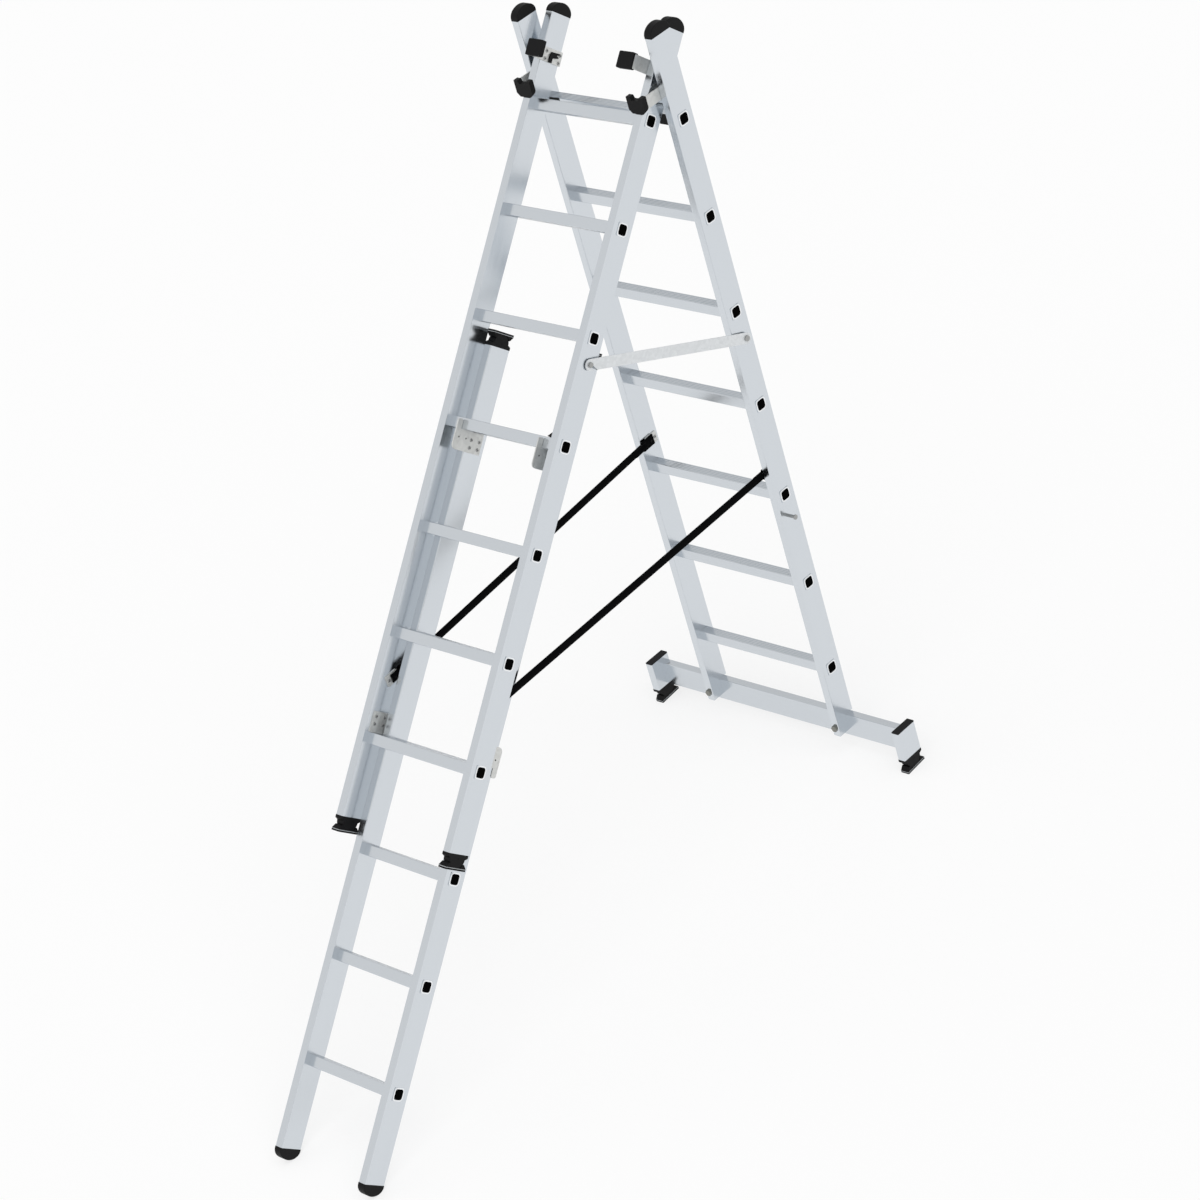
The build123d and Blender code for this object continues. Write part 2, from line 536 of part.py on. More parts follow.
# Black caps over the guide straps' turned ends
with BuildPart() as middle_guide_caps:
    inner = MIDDLE_WIDTH / 2 - STRINGER_WIDTH
    for side, sign in SIDES:
        cap_x = sign * (inner + MIDDLE_CAP_OVERHANG - MIDDLE_CAP_WIDTH / 2)
        with BuildSketch(face_on(MIDDLE, cap_x, -MIDDLE_CAP_BACK, 0)):
            with Locations((0, (MIDDLE_CAP_LOW + MIDDLE_CAP_HIGH) / 2)):
                RectangleRounded(MIDDLE_CAP_WIDTH, MIDDLE_CAP_HIGH - MIDDLE_CAP_LOW, MIDDLE_CAP_CORNER)
        extrude(amount=MIDDLE_CAP_FRONT - MIDDLE_CAP_BACK)
        flange_x = sign * (inner - MIDDLE_FLANGE / 2)
        flange_y = GUIDE_THICK + INSERT_CLEARANCE - MIDDLE_GUIDE_REACH
        with BuildSketch(face_on(MIDDLE, flange_x, flange_y, 0)):
            with Locations((0, (MIDDLE_GUIDE_LOW + MIDDLE_GUIDE_HIGH) / 2)):
                Rectangle(
                    MIDDLE_FLANGE + 2 * INSERT_CLEARANCE,
                    MIDDLE_GUIDE_HIGH - MIDDLE_GUIDE_LOW + 2 * INSERT_CLEARANCE,
                )
        extrude(amount=GUIDE_THICK + 2 * INSERT_CLEARANCE, mode=Mode.SUBTRACT)
        arm_x = sign * (inner - GUIDE_THICK / 2)
        with BuildSketch(face_on(MIDDLE, arm_x, SLOT_PAST - MIDDLE_CAP_BACK, 0)):
            with Locations((0, (MIDDLE_GUIDE_LOW + MIDDLE_GUIDE_HIGH) / 2)):
                Rectangle(
                    GUIDE_THICK + 2 * INSERT_CLEARANCE,
                    MIDDLE_GUIDE_HIGH - MIDDLE_GUIDE_LOW + 2 * INSERT_CLEARANCE,
                )
        extrude(amount=MIDDLE_GUIDE_REACH - MIDDLE_CAP_BACK + SLOT_PAST, mode=Mode.SUBTRACT)
middle_guide_caps.part.label = "middle_guide_caps"
export_step(middle_guide_caps.part, "parts/middle_guide_caps.step")

with BuildPart() as rear_guide_caps:
    inner = REAR_WIDTH / 2 - STRINGER_WIDTH
    for side, sign in SIDES:
        cap_x = sign * (inner + REAR_CAP_OVERHANG - REAR_CAP_WIDTH / 2)
        with BuildSketch(side_on(REAR, cap_x)):
            Polygon(
                (-REAR_CAP_BACK, REAR_CAP_HIGH),
                (-REAR_CAP_FRONT, REAR_CAP_HIGH),
                (-REAR_CAP_FRONT, REAR_CAP_LOW),
                (-REAR_CAP_TOE, REAR_CAP_LOW),
                (-REAR_CAP_BACK, REAR_CAP_LEAD),
            )
        extrude(amount=REAR_CAP_WIDTH / 2, both=True)
        with BuildSketch(face_on(REAR, cap_x, 0, 0)):
            Polygon(
                (-REAR_CAP_NOTCH_TOP / 2, REAR_CAP_HIGH),
                (-REAR_CAP_NOTCH_BASE / 2, REAR_CAP_HIGH - REAR_CAP_NOTCH_DEPTH),
                (REAR_CAP_NOTCH_BASE / 2, REAR_CAP_HIGH - REAR_CAP_NOTCH_DEPTH),
                (REAR_CAP_NOTCH_TOP / 2, REAR_CAP_HIGH),
            )
            for corner in (-1, 1):
                Polygon(
                    (corner * REAR_CAP_WIDTH / 2, REAR_CAP_LOW),
                    (corner * REAR_CAP_WIDTH / 2, REAR_CAP_LOW + REAR_CAP_CHAMFER),
                    (corner * (REAR_CAP_WIDTH / 2 - REAR_CAP_CHAMFER), REAR_CAP_LOW),
                )
        extrude(amount=2 * REAR_CAP_FRONT, mode=Mode.SUBTRACT)
        flange_x = sign * (inner - REAR_FLANGE / 2)
        with BuildSketch(face_on(REAR, flange_x, GUIDE_THICK + INSERT_CLEARANCE - REAR_GUIDE_REACH, 0)):
            with Locations((0, (REAR_GUIDE_LOW + REAR_FLANGE_HIGH) / 2)):
                Rectangle(
                    REAR_FLANGE + 2 * INSERT_CLEARANCE,
                    REAR_FLANGE_HIGH - REAR_GUIDE_LOW + 2 * INSERT_CLEARANCE,
                )
        extrude(amount=GUIDE_THICK + 2 * INSERT_CLEARANCE, mode=Mode.SUBTRACT)
        arm_x = sign * (inner - GUIDE_THICK / 2)
        with BuildSketch(face_on(REAR, arm_x, 0, 0)):
            with Locations((0, (REAR_GUIDE_LOW + REAR_GUIDE_HIGH) / 2)):
                Rectangle(
                    GUIDE_THICK + 2 * INSERT_CLEARANCE,
                    REAR_GUIDE_HIGH - REAR_GUIDE_LOW + 2 * INSERT_CLEARANCE,
                )
        extrude(amount=REAR_GUIDE_REACH + INSERT_CLEARANCE, mode=Mode.SUBTRACT)
rear_guide_caps.part.label = "rear_guide_caps"
export_step(rear_guide_caps.part, "parts/rear_guide_caps.step")

# Pads round the front lower edge of the rear section's top rung
with BuildPart() as rung_pads:
    for side, sign in SIDES:
        with BuildSketch(side_on(REAR, sign * PAD_INNER_X)):
            RectangleRounded(PAD_SIZE, PAD_SIZE, PAD_CORNER)
            RectangleRounded(PAD_BORE, PAD_BORE, RUNG_CORNER, mode=Mode.SUBTRACT)
            with Locations((0, PAD_TOP + PAD_SIZE)):
                Rectangle(2 * PAD_SIZE, 2 * PAD_SIZE, mode=Mode.SUBTRACT)
            with Locations((PAD_REAR + PAD_SIZE, 0)):
                Rectangle(2 * PAD_SIZE, 2 * PAD_SIZE, mode=Mode.SUBTRACT)
        extrude(amount=sign * (PAD_OUTER_X - PAD_INNER_X))
rung_pads.part.label = "rung_pads"
export_step(rung_pads.part, "parts/rung_pads.step")

# Hinge pins: set in the rear stringers, turning in the middle stringers
with BuildPart() as hinge_pins:
    rear_inner = REAR_WIDTH / 2 - STRINGER_WIDTH
    for side, sign in SIDES:
        with BuildSketch(side_on(REAR, sign * (rear_inner + HINGE_PIN_ROOT), FOLD_REAR_Y, FOLD_REAR_Z)):
            Circle(HINGE_PIN_R)
        extrude(amount=-sign * (rear_inner + HINGE_PIN_ROOT - MIDDLE_WIDTH / 2 + HINGE_PIN_DEPTH))
hinge_pins.part.label = "hinge_pins"
export_step(hinge_pins.part, "parts/hinge_pins.step")

# Hook plates: each section's foot end hooks over the neighbour's rung
HOOKED = [("middle", MIDDLE, MIDDLE_WIDTH), ("lower", LOWER, LOWER_WIDTH)]
HOOK_BASE = RUNG_SIZE / 2 + REST_CLEARANCE
FINGER_Y = HOOK_REACH - HOOK_FINGER
for name, frame, width in HOOKED:
    inner = width / 2 - STRINGER_WIDTH
    with BuildPart() as hooks:
        for side, sign in SIDES:
            with BuildSketch(side_on(frame, sign * inner, 0, LOW_RUNG_Z)):
                with BuildLine():
                    Polyline(
                        (HOOK_REACH - HOOK_CORNER, HOOK_TOP),
                        (HOOK_BACK, HOOK_TOP),
                        (HOOK_BACK, HOOK_BASE),
                        (FINGER_Y, HOOK_BASE),
                        (FINGER_Y, HOOK_TIP + HOOK_TIP_CHAMFER),
                        (FINGER_Y + HOOK_TIP_CHAMFER, HOOK_TIP),
                        (HOOK_REACH - HOOK_TIP_CHAMFER, HOOK_TIP),
                        (HOOK_REACH, HOOK_TIP + HOOK_TIP_CHAMFER),
                        (HOOK_REACH, HOOK_TOP - HOOK_CORNER),
                    )
                    RadiusArc(
                        (HOOK_REACH, HOOK_TOP - HOOK_CORNER),
                        (HOOK_REACH - HOOK_CORNER, HOOK_TOP),
                        -HOOK_CORNER,
                    )
                make_face()
            extrude(amount=-sign * HOOK_THICK)
    hooks.part.label = f"{name}_hook_plates"
    export_step(hooks.part, f"parts/{name}_hook_plates.step")

# Strut: a flat strip in a slightly tilted plane, pivoted on the rear section, slotted over a stud
STRUT_P = REAR.from_local_coords((STRUT_REAR_X, STRUT_REAR_Y, STRUT_REAR_Z))
STRUT_S = MIDDLE.from_local_coords((STRUT_FRONT_X, STRUT_FRONT_Y, STRUT_FRONT_Z))
STRUT_RUN = Vector(STRUT_S) - Vector(STRUT_P)
STRUT_LENGTH = STRUT_RUN.length
STRUT_DIR = STRUT_RUN.normalized()
STRUT_NORMAL = (Vector(1, 0, 0) - STRUT_DIR * STRUT_DIR.X).normalized()
STRUT_PLANE = Plane(origin=STRUT_P, x_dir=STRUT_DIR, z_dir=STRUT_NORMAL)
with BuildPart() as strut:
    with BuildSketch(STRUT_PLANE):
        with Locations((STRUT_LENGTH / 2, 0)):
            Rectangle(STRUT_LENGTH, STRUT_WIDTH)
        with Locations((0, 0), (STRUT_LENGTH, 0)):
            Circle(STRUT_WIDTH / 2)
        Circle(STRUT_RIVET_R + RUN_CLEARANCE, mode=Mode.SUBTRACT)
        SLOT_DX = -STRUT_WIDTH * cos(radians(STRUT_SLOT_DEG))
        SLOT_DY = STRUT_WIDTH * sin(radians(STRUT_SLOT_DEG))
        SLOT_CENTRE = (STRUT_LENGTH + SLOT_DX / 2, SLOT_DY / 2)
        with Locations((STRUT_LENGTH, 0)):
            Circle(STUD_R + STUD_CLEARANCE, mode=Mode.SUBTRACT)
        with Locations(Location((SLOT_CENTRE[0], SLOT_CENTRE[1], 0), (0, 0, -STRUT_SLOT_DEG))):
            Rectangle(STRUT_WIDTH, 2 * (STUD_R + STUD_CLEARANCE), mode=Mode.SUBTRACT)
    extrude(amount=STRUT_THICK / 2, both=True)
strut.part.label = "strut"
export_step(strut.part, "parts/strut.step")

# Strut pivot with its spacer, and the stud that parks the strut along the rear stringer
PARK_Z = STRUT_REAR_Z - STRUT_LENGTH * cos(asin((STRUT_REAR_Y - PARK_Y) / STRUT_LENGTH))
with BuildPart() as strut_pivot:
    spacer_top = -STRUT_THICK / 2 - REST_CLEARANCE
    with BuildSketch(STRUT_PLANE.offset(spacer_top)):
        Circle(STRUT_SPACER_R)
    extrude(amount=-STRINGER_WIDTH / 2)
    with BuildSketch(STRUT_PLANE.offset(spacer_top)):
        Circle(STRUT_RIVET_R)
    extrude(amount=STRUT_THICK + 2 * REST_CLEARANCE)
    with BuildSketch(STRUT_PLANE.offset(-spacer_top)):
        Circle(STRUT_RIVET_HEAD_R)
    extrude(amount=STRUT_RIVET_HEAD_H)
    with BuildSketch(side_on(REAR, REAR_WIDTH / 2, STRUT_REAR_Y, STRUT_REAR_Z)):
        Rectangle(STRINGER_DEPTH, STRINGER_DEPTH)
    extrude(amount=-STRINGER_WIDTH, mode=Mode.SUBTRACT)
    with BuildSketch(side_on(REAR, REAR_WIDTH / 2, PARK_Y, PARK_Z)):
        Circle(STUD_R)
    extrude(amount=PARK_REACH - REAR_WIDTH / 2)
    with BuildSketch(side_on(REAR, PARK_REACH, PARK_Y, PARK_Z)):
        Circle(STUD_HEAD_R)
    extrude(amount=STUD_HEAD_H)
strut_pivot.part.label = "strut_pivot"
export_step(strut_pivot.part, "parts/strut_pivot.step")

with BuildPart() as strut_stud:
    HEAD_X = STRUT_FRONT_X + STRUT_THICK / 2 + STUD_HEAD_GAP
    with BuildSketch(side_on(MIDDLE, MIDDLE_WIDTH / 2, STRUT_FRONT_Y, STRUT_FRONT_Z)):
        Circle(STUD_R)
    extrude(amount=HEAD_X - MIDDLE_WIDTH / 2)
    with BuildSketch(side_on(MIDDLE, HEAD_X, STRUT_FRONT_Y, STRUT_FRONT_Z)):
        Circle(STUD_HEAD_R)
    extrude(amount=STUD_HEAD_H)
strut_stud.part.label = "strut_stud"
export_step(strut_stud.part, "parts/strut_stud.step")

# Webbing straps, drawn taut: flat on each plate, straight between, doubled where they are sewn
MIDDLE_INNER = MIDDLE_WIDTH / 2 - STRINGER_WIDTH
REAR_INNER = REAR_WIDTH / 2 - STRINGER_WIDTH
WEB_START = MIDDLE.from_local_coords((0, WEB_MIDDLE_Y, WEB_MIDDLE_Z))
WEB_END = REAR.from_local_coords((0, WEB_REAR_Y, WEB_REAR_Z))
WEB_RUN = Vector(WEB_END) - Vector(WEB_START)
WEB_SPAN = WEB_RUN.length
WEB_DIR = WEB_RUN.normalized()
for side, sign in SIDES:
    web_x = MIDDLE_INNER - WEB_PLATE_THICK
    out_x = REAR_INNER - WEB_PLATE_THICK
    origin = WEB_START + Vector(sign * web_x, 0, 0)
    plane = Plane(origin=origin, x_dir=WEB_DIR, z_dir=WEB_DIR.cross(Vector(sign, 0, 0)))
    slope = (out_x - web_x) / (WEB_SPAN - 2 * WEB_FLAT)
    with BuildPart() as strap:
        with BuildSketch(plane):
            Polygon(
                (-WEB_TAIL, -WEB_THICK),
                (WEB_FLAT, -WEB_THICK),
                (WEB_SPAN - WEB_FLAT, out_x - web_x - WEB_THICK),
                (WEB_SPAN + WEB_TAIL, out_x - web_x - WEB_THICK),
                (WEB_SPAN + WEB_TAIL, out_x - web_x),
                (WEB_SPAN - WEB_FLAT, out_x - web_x),
                (WEB_FLAT, 0),
                (-WEB_TAIL, 0),
            )
            Polygon(
                (-WEB_TAIL, -2 * WEB_THICK),
                (WEB_FLAT, -2 * WEB_THICK),
                (WEB_DOUBLE, slope * (WEB_DOUBLE - WEB_FLAT) - 2 * WEB_THICK),
                (WEB_DOUBLE, slope * (WEB_DOUBLE - WEB_FLAT) - WEB_THICK),
                (WEB_FLAT, -WEB_THICK),
                (-WEB_TAIL, -WEB_THICK),
            )
            Polygon(
                (WEB_SPAN + WEB_TAIL, out_x - web_x - 2 * WEB_THICK),
                (WEB_SPAN - WEB_FLAT, out_x - web_x - 2 * WEB_THICK),
                (WEB_SPAN - WEB_DOUBLE, out_x - web_x - slope * (WEB_DOUBLE - WEB_FLAT) - 2 * WEB_THICK),
                (WEB_SPAN - WEB_DOUBLE, out_x - web_x - slope * (WEB_DOUBLE - WEB_FLAT) - WEB_THICK),
                (WEB_SPAN - WEB_FLAT, out_x - web_x - WEB_THICK),
                (WEB_SPAN + WEB_TAIL, out_x - web_x - WEB_THICK),
            )
        extrude(amount=WEB_WIDTH / 2, both=True)
    strap.part.label = f"strap_{side}"
    export_step(strap.part, f"parts/strap_{side}.step")

# Plates that hold the webbing, turned to line up with it
WEB_PLATES = [("middle", WEB_START, MIDDLE_INNER), ("rear", WEB_END, REAR_INNER)]
for name, point, inner in WEB_PLATES:
    with BuildPart() as plates:
        for side, sign in SIDES:
            origin = Vector(point) + Vector(sign * inner, 0, 0)
            with BuildSketch(Plane(origin=origin, x_dir=WEB_DIR, z_dir=(-sign, 0, 0))):
                RectangleRounded(WEB_PLATE_LENGTH, WEB_PLATE_WIDTH, WEB_PLATE_CORNER)
            extrude(amount=WEB_PLATE_THICK)
    plates.part.label = f"{name}_strap_plates"
    export_step(plates.part, f"parts/{name}_strap_plates.step")

# Rivet heads on hook plates, guide straps and webbing ends
LOWER_INNER = LOWER_WIDTH / 2 - STRINGER_WIDTH
HOOK_SPOTS = [(y, LOW_RUNG_Z + z) for y in HOOK_RIVET_YS for z in HOOK_RIVET_ZS]
MIDDLE_GUIDE_SPOTS = [(y, z) for y in MIDDLE_GUIDE_RIVET_YS for z in MIDDLE_GUIDE_RIVET_ZS]
REAR_GUIDE_SPOTS = [(y, z) for y in REAR_GUIDE_RIVET_YS for z in REAR_GUIDE_RIVET_ZS]
RIVETED = [
    ("middle", MIDDLE, MIDDLE_INNER, HOOK_SPOTS, MIDDLE_GUIDE_SPOTS, WEB_START),
    ("lower", LOWER, LOWER_INNER, HOOK_SPOTS, [], None),
    ("rear", REAR, REAR_INNER, [], REAR_GUIDE_SPOTS, WEB_END),
]
for name, frame, inner, hook_spots, guide_spots, web_point in RIVETED:
    with BuildPart() as rivets:
        for side, sign in SIDES:
            for y, z in hook_spots:
                with BuildSketch(side_on(frame, sign * (inner - HOOK_THICK), y, z)):
                    Circle(RIVET_R)
                extrude(amount=-sign * RIVET_H)
            for y, z in guide_spots:
                with BuildSketch(side_on(frame, sign * (inner - GUIDE_THICK), y, z)):
                    Circle(RIVET_R)
                extrude(amount=-sign * RIVET_H)
            if web_point is not None:
                inward = 1 if name == "middle" else -1
                for along, under in ((-PLATE_RIVET, 0), (WEB_RIVET, 2 * WEB_THICK)):
                    origin = Vector(web_point) + WEB_DIR * (inward * along)
                    origin = origin + Vector(sign * (inner - WEB_PLATE_THICK - under), 0, 0)
                    with BuildSketch(Plane(origin=origin, x_dir=WEB_DIR, z_dir=(-sign, 0, 0))):
                        Circle(RIVET_R)
                    extrude(amount=RIVET_H)
    rivets.part.label = f"{name}_rivets"
    export_step(rivets.part, f"parts/{name}_rivets.step")

# Joint axes, for the record
print("rear lean", degrees(REAR_LEAN), "front lean", degrees(FRONT_LEAN))
print("hanger", HANGER_Y, HANGER_Z)
print("fold", REAR.from_local_coords((0, FOLD_REAR_Y, FOLD_REAR_Z)))
print("fold in middle", FOLD_MIDDLE_Y, FOLD_MIDDLE_Z)
print("fold again", MIDDLE.from_local_coords((0, FOLD_MIDDLE_Y, FOLD_MIDDLE_Z)))
print("lift axis", MIDDLE.z_dir)
for name, frame, reach, end_z in FEET:
    print(name, "sole pin", frame.from_local_coords((reach, 0, end_z - FOOT_PIN_DROP)))
print("strut pivot", STRUT_P, "axis", STRUT_NORMAL, "length", STRUT_LENGTH)
print("strap span", WEB_SPAN, "length", WEB_SPAN + 2 * WEB_TAIL)
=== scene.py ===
import math

import bmesh
import bpy
from mathutils import Matrix, Vector


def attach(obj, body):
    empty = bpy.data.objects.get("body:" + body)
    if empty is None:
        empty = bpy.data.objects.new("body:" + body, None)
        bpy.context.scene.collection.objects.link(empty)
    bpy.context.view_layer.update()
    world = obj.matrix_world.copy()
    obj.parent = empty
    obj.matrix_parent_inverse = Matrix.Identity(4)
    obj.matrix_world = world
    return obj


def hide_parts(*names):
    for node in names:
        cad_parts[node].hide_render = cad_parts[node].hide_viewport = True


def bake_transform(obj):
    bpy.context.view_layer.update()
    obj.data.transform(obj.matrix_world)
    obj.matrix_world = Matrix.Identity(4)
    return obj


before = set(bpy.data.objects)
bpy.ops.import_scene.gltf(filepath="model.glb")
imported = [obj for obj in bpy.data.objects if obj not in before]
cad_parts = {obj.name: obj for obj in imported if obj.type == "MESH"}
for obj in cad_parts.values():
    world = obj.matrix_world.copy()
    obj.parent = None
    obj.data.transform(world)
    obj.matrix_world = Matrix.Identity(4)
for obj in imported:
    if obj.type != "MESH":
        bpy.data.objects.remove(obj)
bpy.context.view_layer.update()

MM = 0.001

# Camera: the photograph's own station, fitted on the stringers and rungs.
# It looks down at the ladder with the frame turned, because the ladder in the picture stands on stairs.
CAMERA_AT = Vector((6.82292, -4.78713, 6.28462))
CAMERA_AZIMUTH = math.radians(52.865)
CAMERA_ELEVATION = math.radians(32.6717)
CAMERA_ROLL = math.radians(-20.3628)
CAMERA_LENS = 116.02

back = Vector((
    math.sin(CAMERA_AZIMUTH) * math.cos(CAMERA_ELEVATION),
    -math.cos(CAMERA_AZIMUTH) * math.cos(CAMERA_ELEVATION),
    math.sin(CAMERA_ELEVATION),
))
level = (-back).cross(Vector((0, 0, 1))).normalized()
upright = level.cross(-back)
right = level * math.cos(CAMERA_ROLL) + upright * math.sin(CAMERA_ROLL)
up = upright * math.cos(CAMERA_ROLL) - level * math.sin(CAMERA_ROLL)
camera = bpy.data.objects.new("camera", bpy.data.cameras.new("camera"))
bpy.context.scene.collection.objects.link(camera)
camera.matrix_world = Matrix((
    (right.x, up.x, back.x, CAMERA_AT.x),
    (right.y, up.y, back.y, CAMERA_AT.y),
    (right.z, up.z, back.z, CAMERA_AT.z),
    (0, 0, 0, 1),
))
camera.data.sensor_width = 36
camera.data.lens = CAMERA_LENS
camera.data.clip_end = 100
bpy.context.scene.camera = camera
bpy.context.scene.view_settings.view_transform = "Standard"

# Section frames, as the solids have them: origin on the top rung, x right, y rear, z up the section
REAR_LEAN = math.radians(3.777023)
FRONT_LEAN = math.radians(46.037023)
HANGER = Vector((0, 964.8050, 1951.3177)) * MM
HANG_Y = 75.8 * MM
HANG_Z = 31.6 * MM
NEST = 50.4 * MM
PITCH = 280 * MM
RUNG_COUNT = 7
LOWER_DROP_RUNGS = 9
LOW_RUNG = (RUNG_COUNT - 1) * PITCH
REAR_WIDTH = 494 * MM
MIDDLE_WIDTH = 422 * MM
LOWER_WIDTH = 341 * MM
STRINGER_WIDTH = 24 * MM


def section(origin, lean, flip=1):
    """The matrix that takes a section's own coordinates to the row frame."""
    z_axis = Vector((0, math.sin(lean), math.cos(lean))) * flip
    x_axis = Vector((1, 0, 0))
    y_axis = z_axis.cross(x_axis)
    return Matrix((
        (x_axis.x, y_axis.x, z_axis.x, origin.x),
        (x_axis.y, y_axis.y, z_axis.y, origin.y),
        (x_axis.z, y_axis.z, z_axis.z, origin.z),
        (0, 0, 0, 1),
    ))


rear = section(HANGER, REAR_LEAN)
turn = section(Vector((0, 0, 0)), FRONT_LEAN)
middle = section(HANGER - turn @ Vector((0, HANG_Y, HANG_Z)), FRONT_LEAN)
lower = section(middle @ Vector((0, NEST, -LOWER_DROP_RUNGS * PITCH)), FRONT_LEAN, -1)
SECTIONS = {
    "rear": (rear, REAR_WIDTH),
    "middle": (middle, MIDDLE_WIDTH),
    "lower": (lower, LOWER_WIDTH),
}


def colour(code):
    """A linear RGBA colour from an sRGB hex value."""
    channels = [int(code[i:i + 2], 16) / 255 for i in (1, 3, 5)]
    linear = [c / 12.92 if c <= 0.04045 else ((c + 0.055) / 1.055) ** 2.4 for c in channels]
    return (*linear, 1)


def add(tree, kind, inputs=None, **settings):
    """Adds a node: settings are its properties, inputs its socket values or the sockets linked to them."""
    made = tree.nodes.new(kind)
    for key, value in settings.items():
        setattr(made, key, value)
    for key, value in (inputs or {}).items():
        if isinstance(value, bpy.types.NodeSocket):
            tree.links.new(value, made.inputs[key])
        else:
            made.inputs[key].default_value = value
    return made


def blank(name):
    """A new material with an empty Principled surface, and its tree and shader."""
    made = bpy.data.materials.new(name)
    made.use_nodes = True
    tree = made.node_tree
    tree.nodes.clear()
    shader = add(tree, "ShaderNodeBsdfPrincipled")
    add(tree, "ShaderNodeOutputMaterial", {"Surface": shader.outputs["BSDF"]})
    return made, tree, shader


def extruded_aluminium(name, code, lean, along_x=False):
    """Mill-finish aluminium: pressed through a die, with a soft sheen and faint lines along its length."""
    made, tree, shader = blank(name)
    shader.inputs["Base Color"].default_value = colour(code)
    shader.inputs["Metallic"].default_value = 1.0
    place = add(tree, "ShaderNodeTexCoord").outputs["Object"]
    turned = add(tree, "ShaderNodeMapping", {"Vector": place, "Rotation": (lean, 0, 0)})
    # Die lines are about 0.3 mm apart: drawn 3 mm apart so that they show.
    line = 1 / (3 * MM)
    stretch = (line / 150, line, line) if along_x else (line, line, line / 150)
    scaled = add(tree, "ShaderNodeMapping", {"Vector": turned.outputs["Vector"], "Scale": stretch})
    lines = add(tree, "ShaderNodeTexNoise", {"Vector": scaled.outputs["Vector"], "Scale": 1.0, "Detail": 2.0})
    rough = add(
        tree, "ShaderNodeMapRange", {"Value": lines.outputs["Fac"], "To Min": 0.16, "To Max": 0.25}
    )
    tree.links.new(rough.outputs["Result"], shader.inputs["Roughness"])
    return made


def galvanised_steel(name, code, patch_code):
    """Hot-dip galvanised sheet: dull zinc with faint crystal patches, spangle, about 8 mm across."""
    made, tree, shader = blank(name)
    shader.inputs["Metallic"].default_value = 0.7
    place = add(tree, "ShaderNodeTexCoord").outputs["Object"]
    spangle = add(tree, "ShaderNodeTexVoronoi", {"Vector": place, "Scale": 1 / (8 * MM)})
    patch = add(tree, "ShaderNodeSeparateColor", {"Color": spangle.outputs["Color"]})
    mixed = add(tree, "ShaderNodeMix", {"Factor": patch.outputs["Red"]}, data_type="RGBA")
    mixed.inputs[6].default_value = colour(code)
    mixed.inputs[7].default_value = colour(patch_code)
    tree.links.new(mixed.outputs[2], shader.inputs["Base Color"])
    rough = add(
        tree, "ShaderNodeMapRange", {"Value": patch.outputs["Green"], "To Min": 0.42, "To Max": 0.55}
    )
    tree.links.new(rough.outputs["Result"], shader.inputs["Roughness"])
    return made


def bright_zinc(name, code, roughness):
    """Zinc-plated steel of bolts, rivets and pins: smooth, pale and a little blue. The rung rims use it too,
    in a near-white colour that is painted highlight.
    """
    made, tree, shader = blank(name)
    shader.inputs["Base Color"].default_value = colour(code)
    shader.inputs["Metallic"].default_value = 1.0
    shader.inputs["Roughness"].default_value = roughness
    return made


def moulded_plastic(name, code, roughness, grit, shine=0.2):
    """Black polypropylene out of a spark-eroded mould: matt, with a fine grain."""
    made, tree, shader = blank(name)
    shader.inputs["Base Color"].default_value = colour(code)
    shader.inputs["IOR"].default_value = 1.49
    shader.inputs["Specular IOR Level"].default_value = shine
    shader.inputs["Roughness"].default_value = roughness
    place = add(tree, "ShaderNodeTexCoord").outputs["Object"]
    grain = add(tree, "ShaderNodeTexNoise", {"Vector": place, "Scale": 1 / grit, "Detail": 1.0})
    bump = add(tree, "ShaderNodeBump", {
        "Height": grain.outputs["Fac"], "Strength": 0.12, "Distance": 0.2 * MM,
    })
    tree.links.new(bump.outputs["Normal"], shader.inputs["Normal"])
    return made


def woven_webbing(name, code):
    """Black polyester webbing: a close weave of thick warp cords, dull, read from its own map."""
    made, tree, shader = blank(name)
    shader.inputs["Base Color"].default_value = colour(code)
    shader.inputs["Roughness"].default_value = 0.85
    shader.inputs["Specular IOR Level"].default_value = 0.05
    # The map is in metres: 1.6 mm ribs across the width, picks every 2 mm along the length.
    cloth = add(tree, "ShaderNodeUVMap", uv_map="weave").outputs["UV"]
    turned = add(tree, "ShaderNodeMapping", {"Vector": cloth, "Scale": (1 / (2 * MM), 1 / (1.6 * MM), 1)})
    waves = {"Vector": turned.outputs["Vector"], "Scale": 1 / math.pi, "Distortion": 0.3}
    ribs = add(tree, "ShaderNodeTexWave", waves, wave_type="BANDS", bands_direction="Y")
    picks = add(tree, "ShaderNodeTexWave", waves, wave_type="BANDS", bands_direction="X")
    height = add(
        tree, "ShaderNodeMath", {0: ribs.outputs["Fac"], 1: picks.outputs["Fac"]}, operation="MULTIPLY"
    )
    bump = add(tree, "ShaderNodeBump", {
        "Height": height.outputs["Value"], "Strength": 0.5, "Distance": 0.4 * MM,
    })
    tree.links.new(bump.outputs["Normal"], shader.inputs["Normal"])
    return made


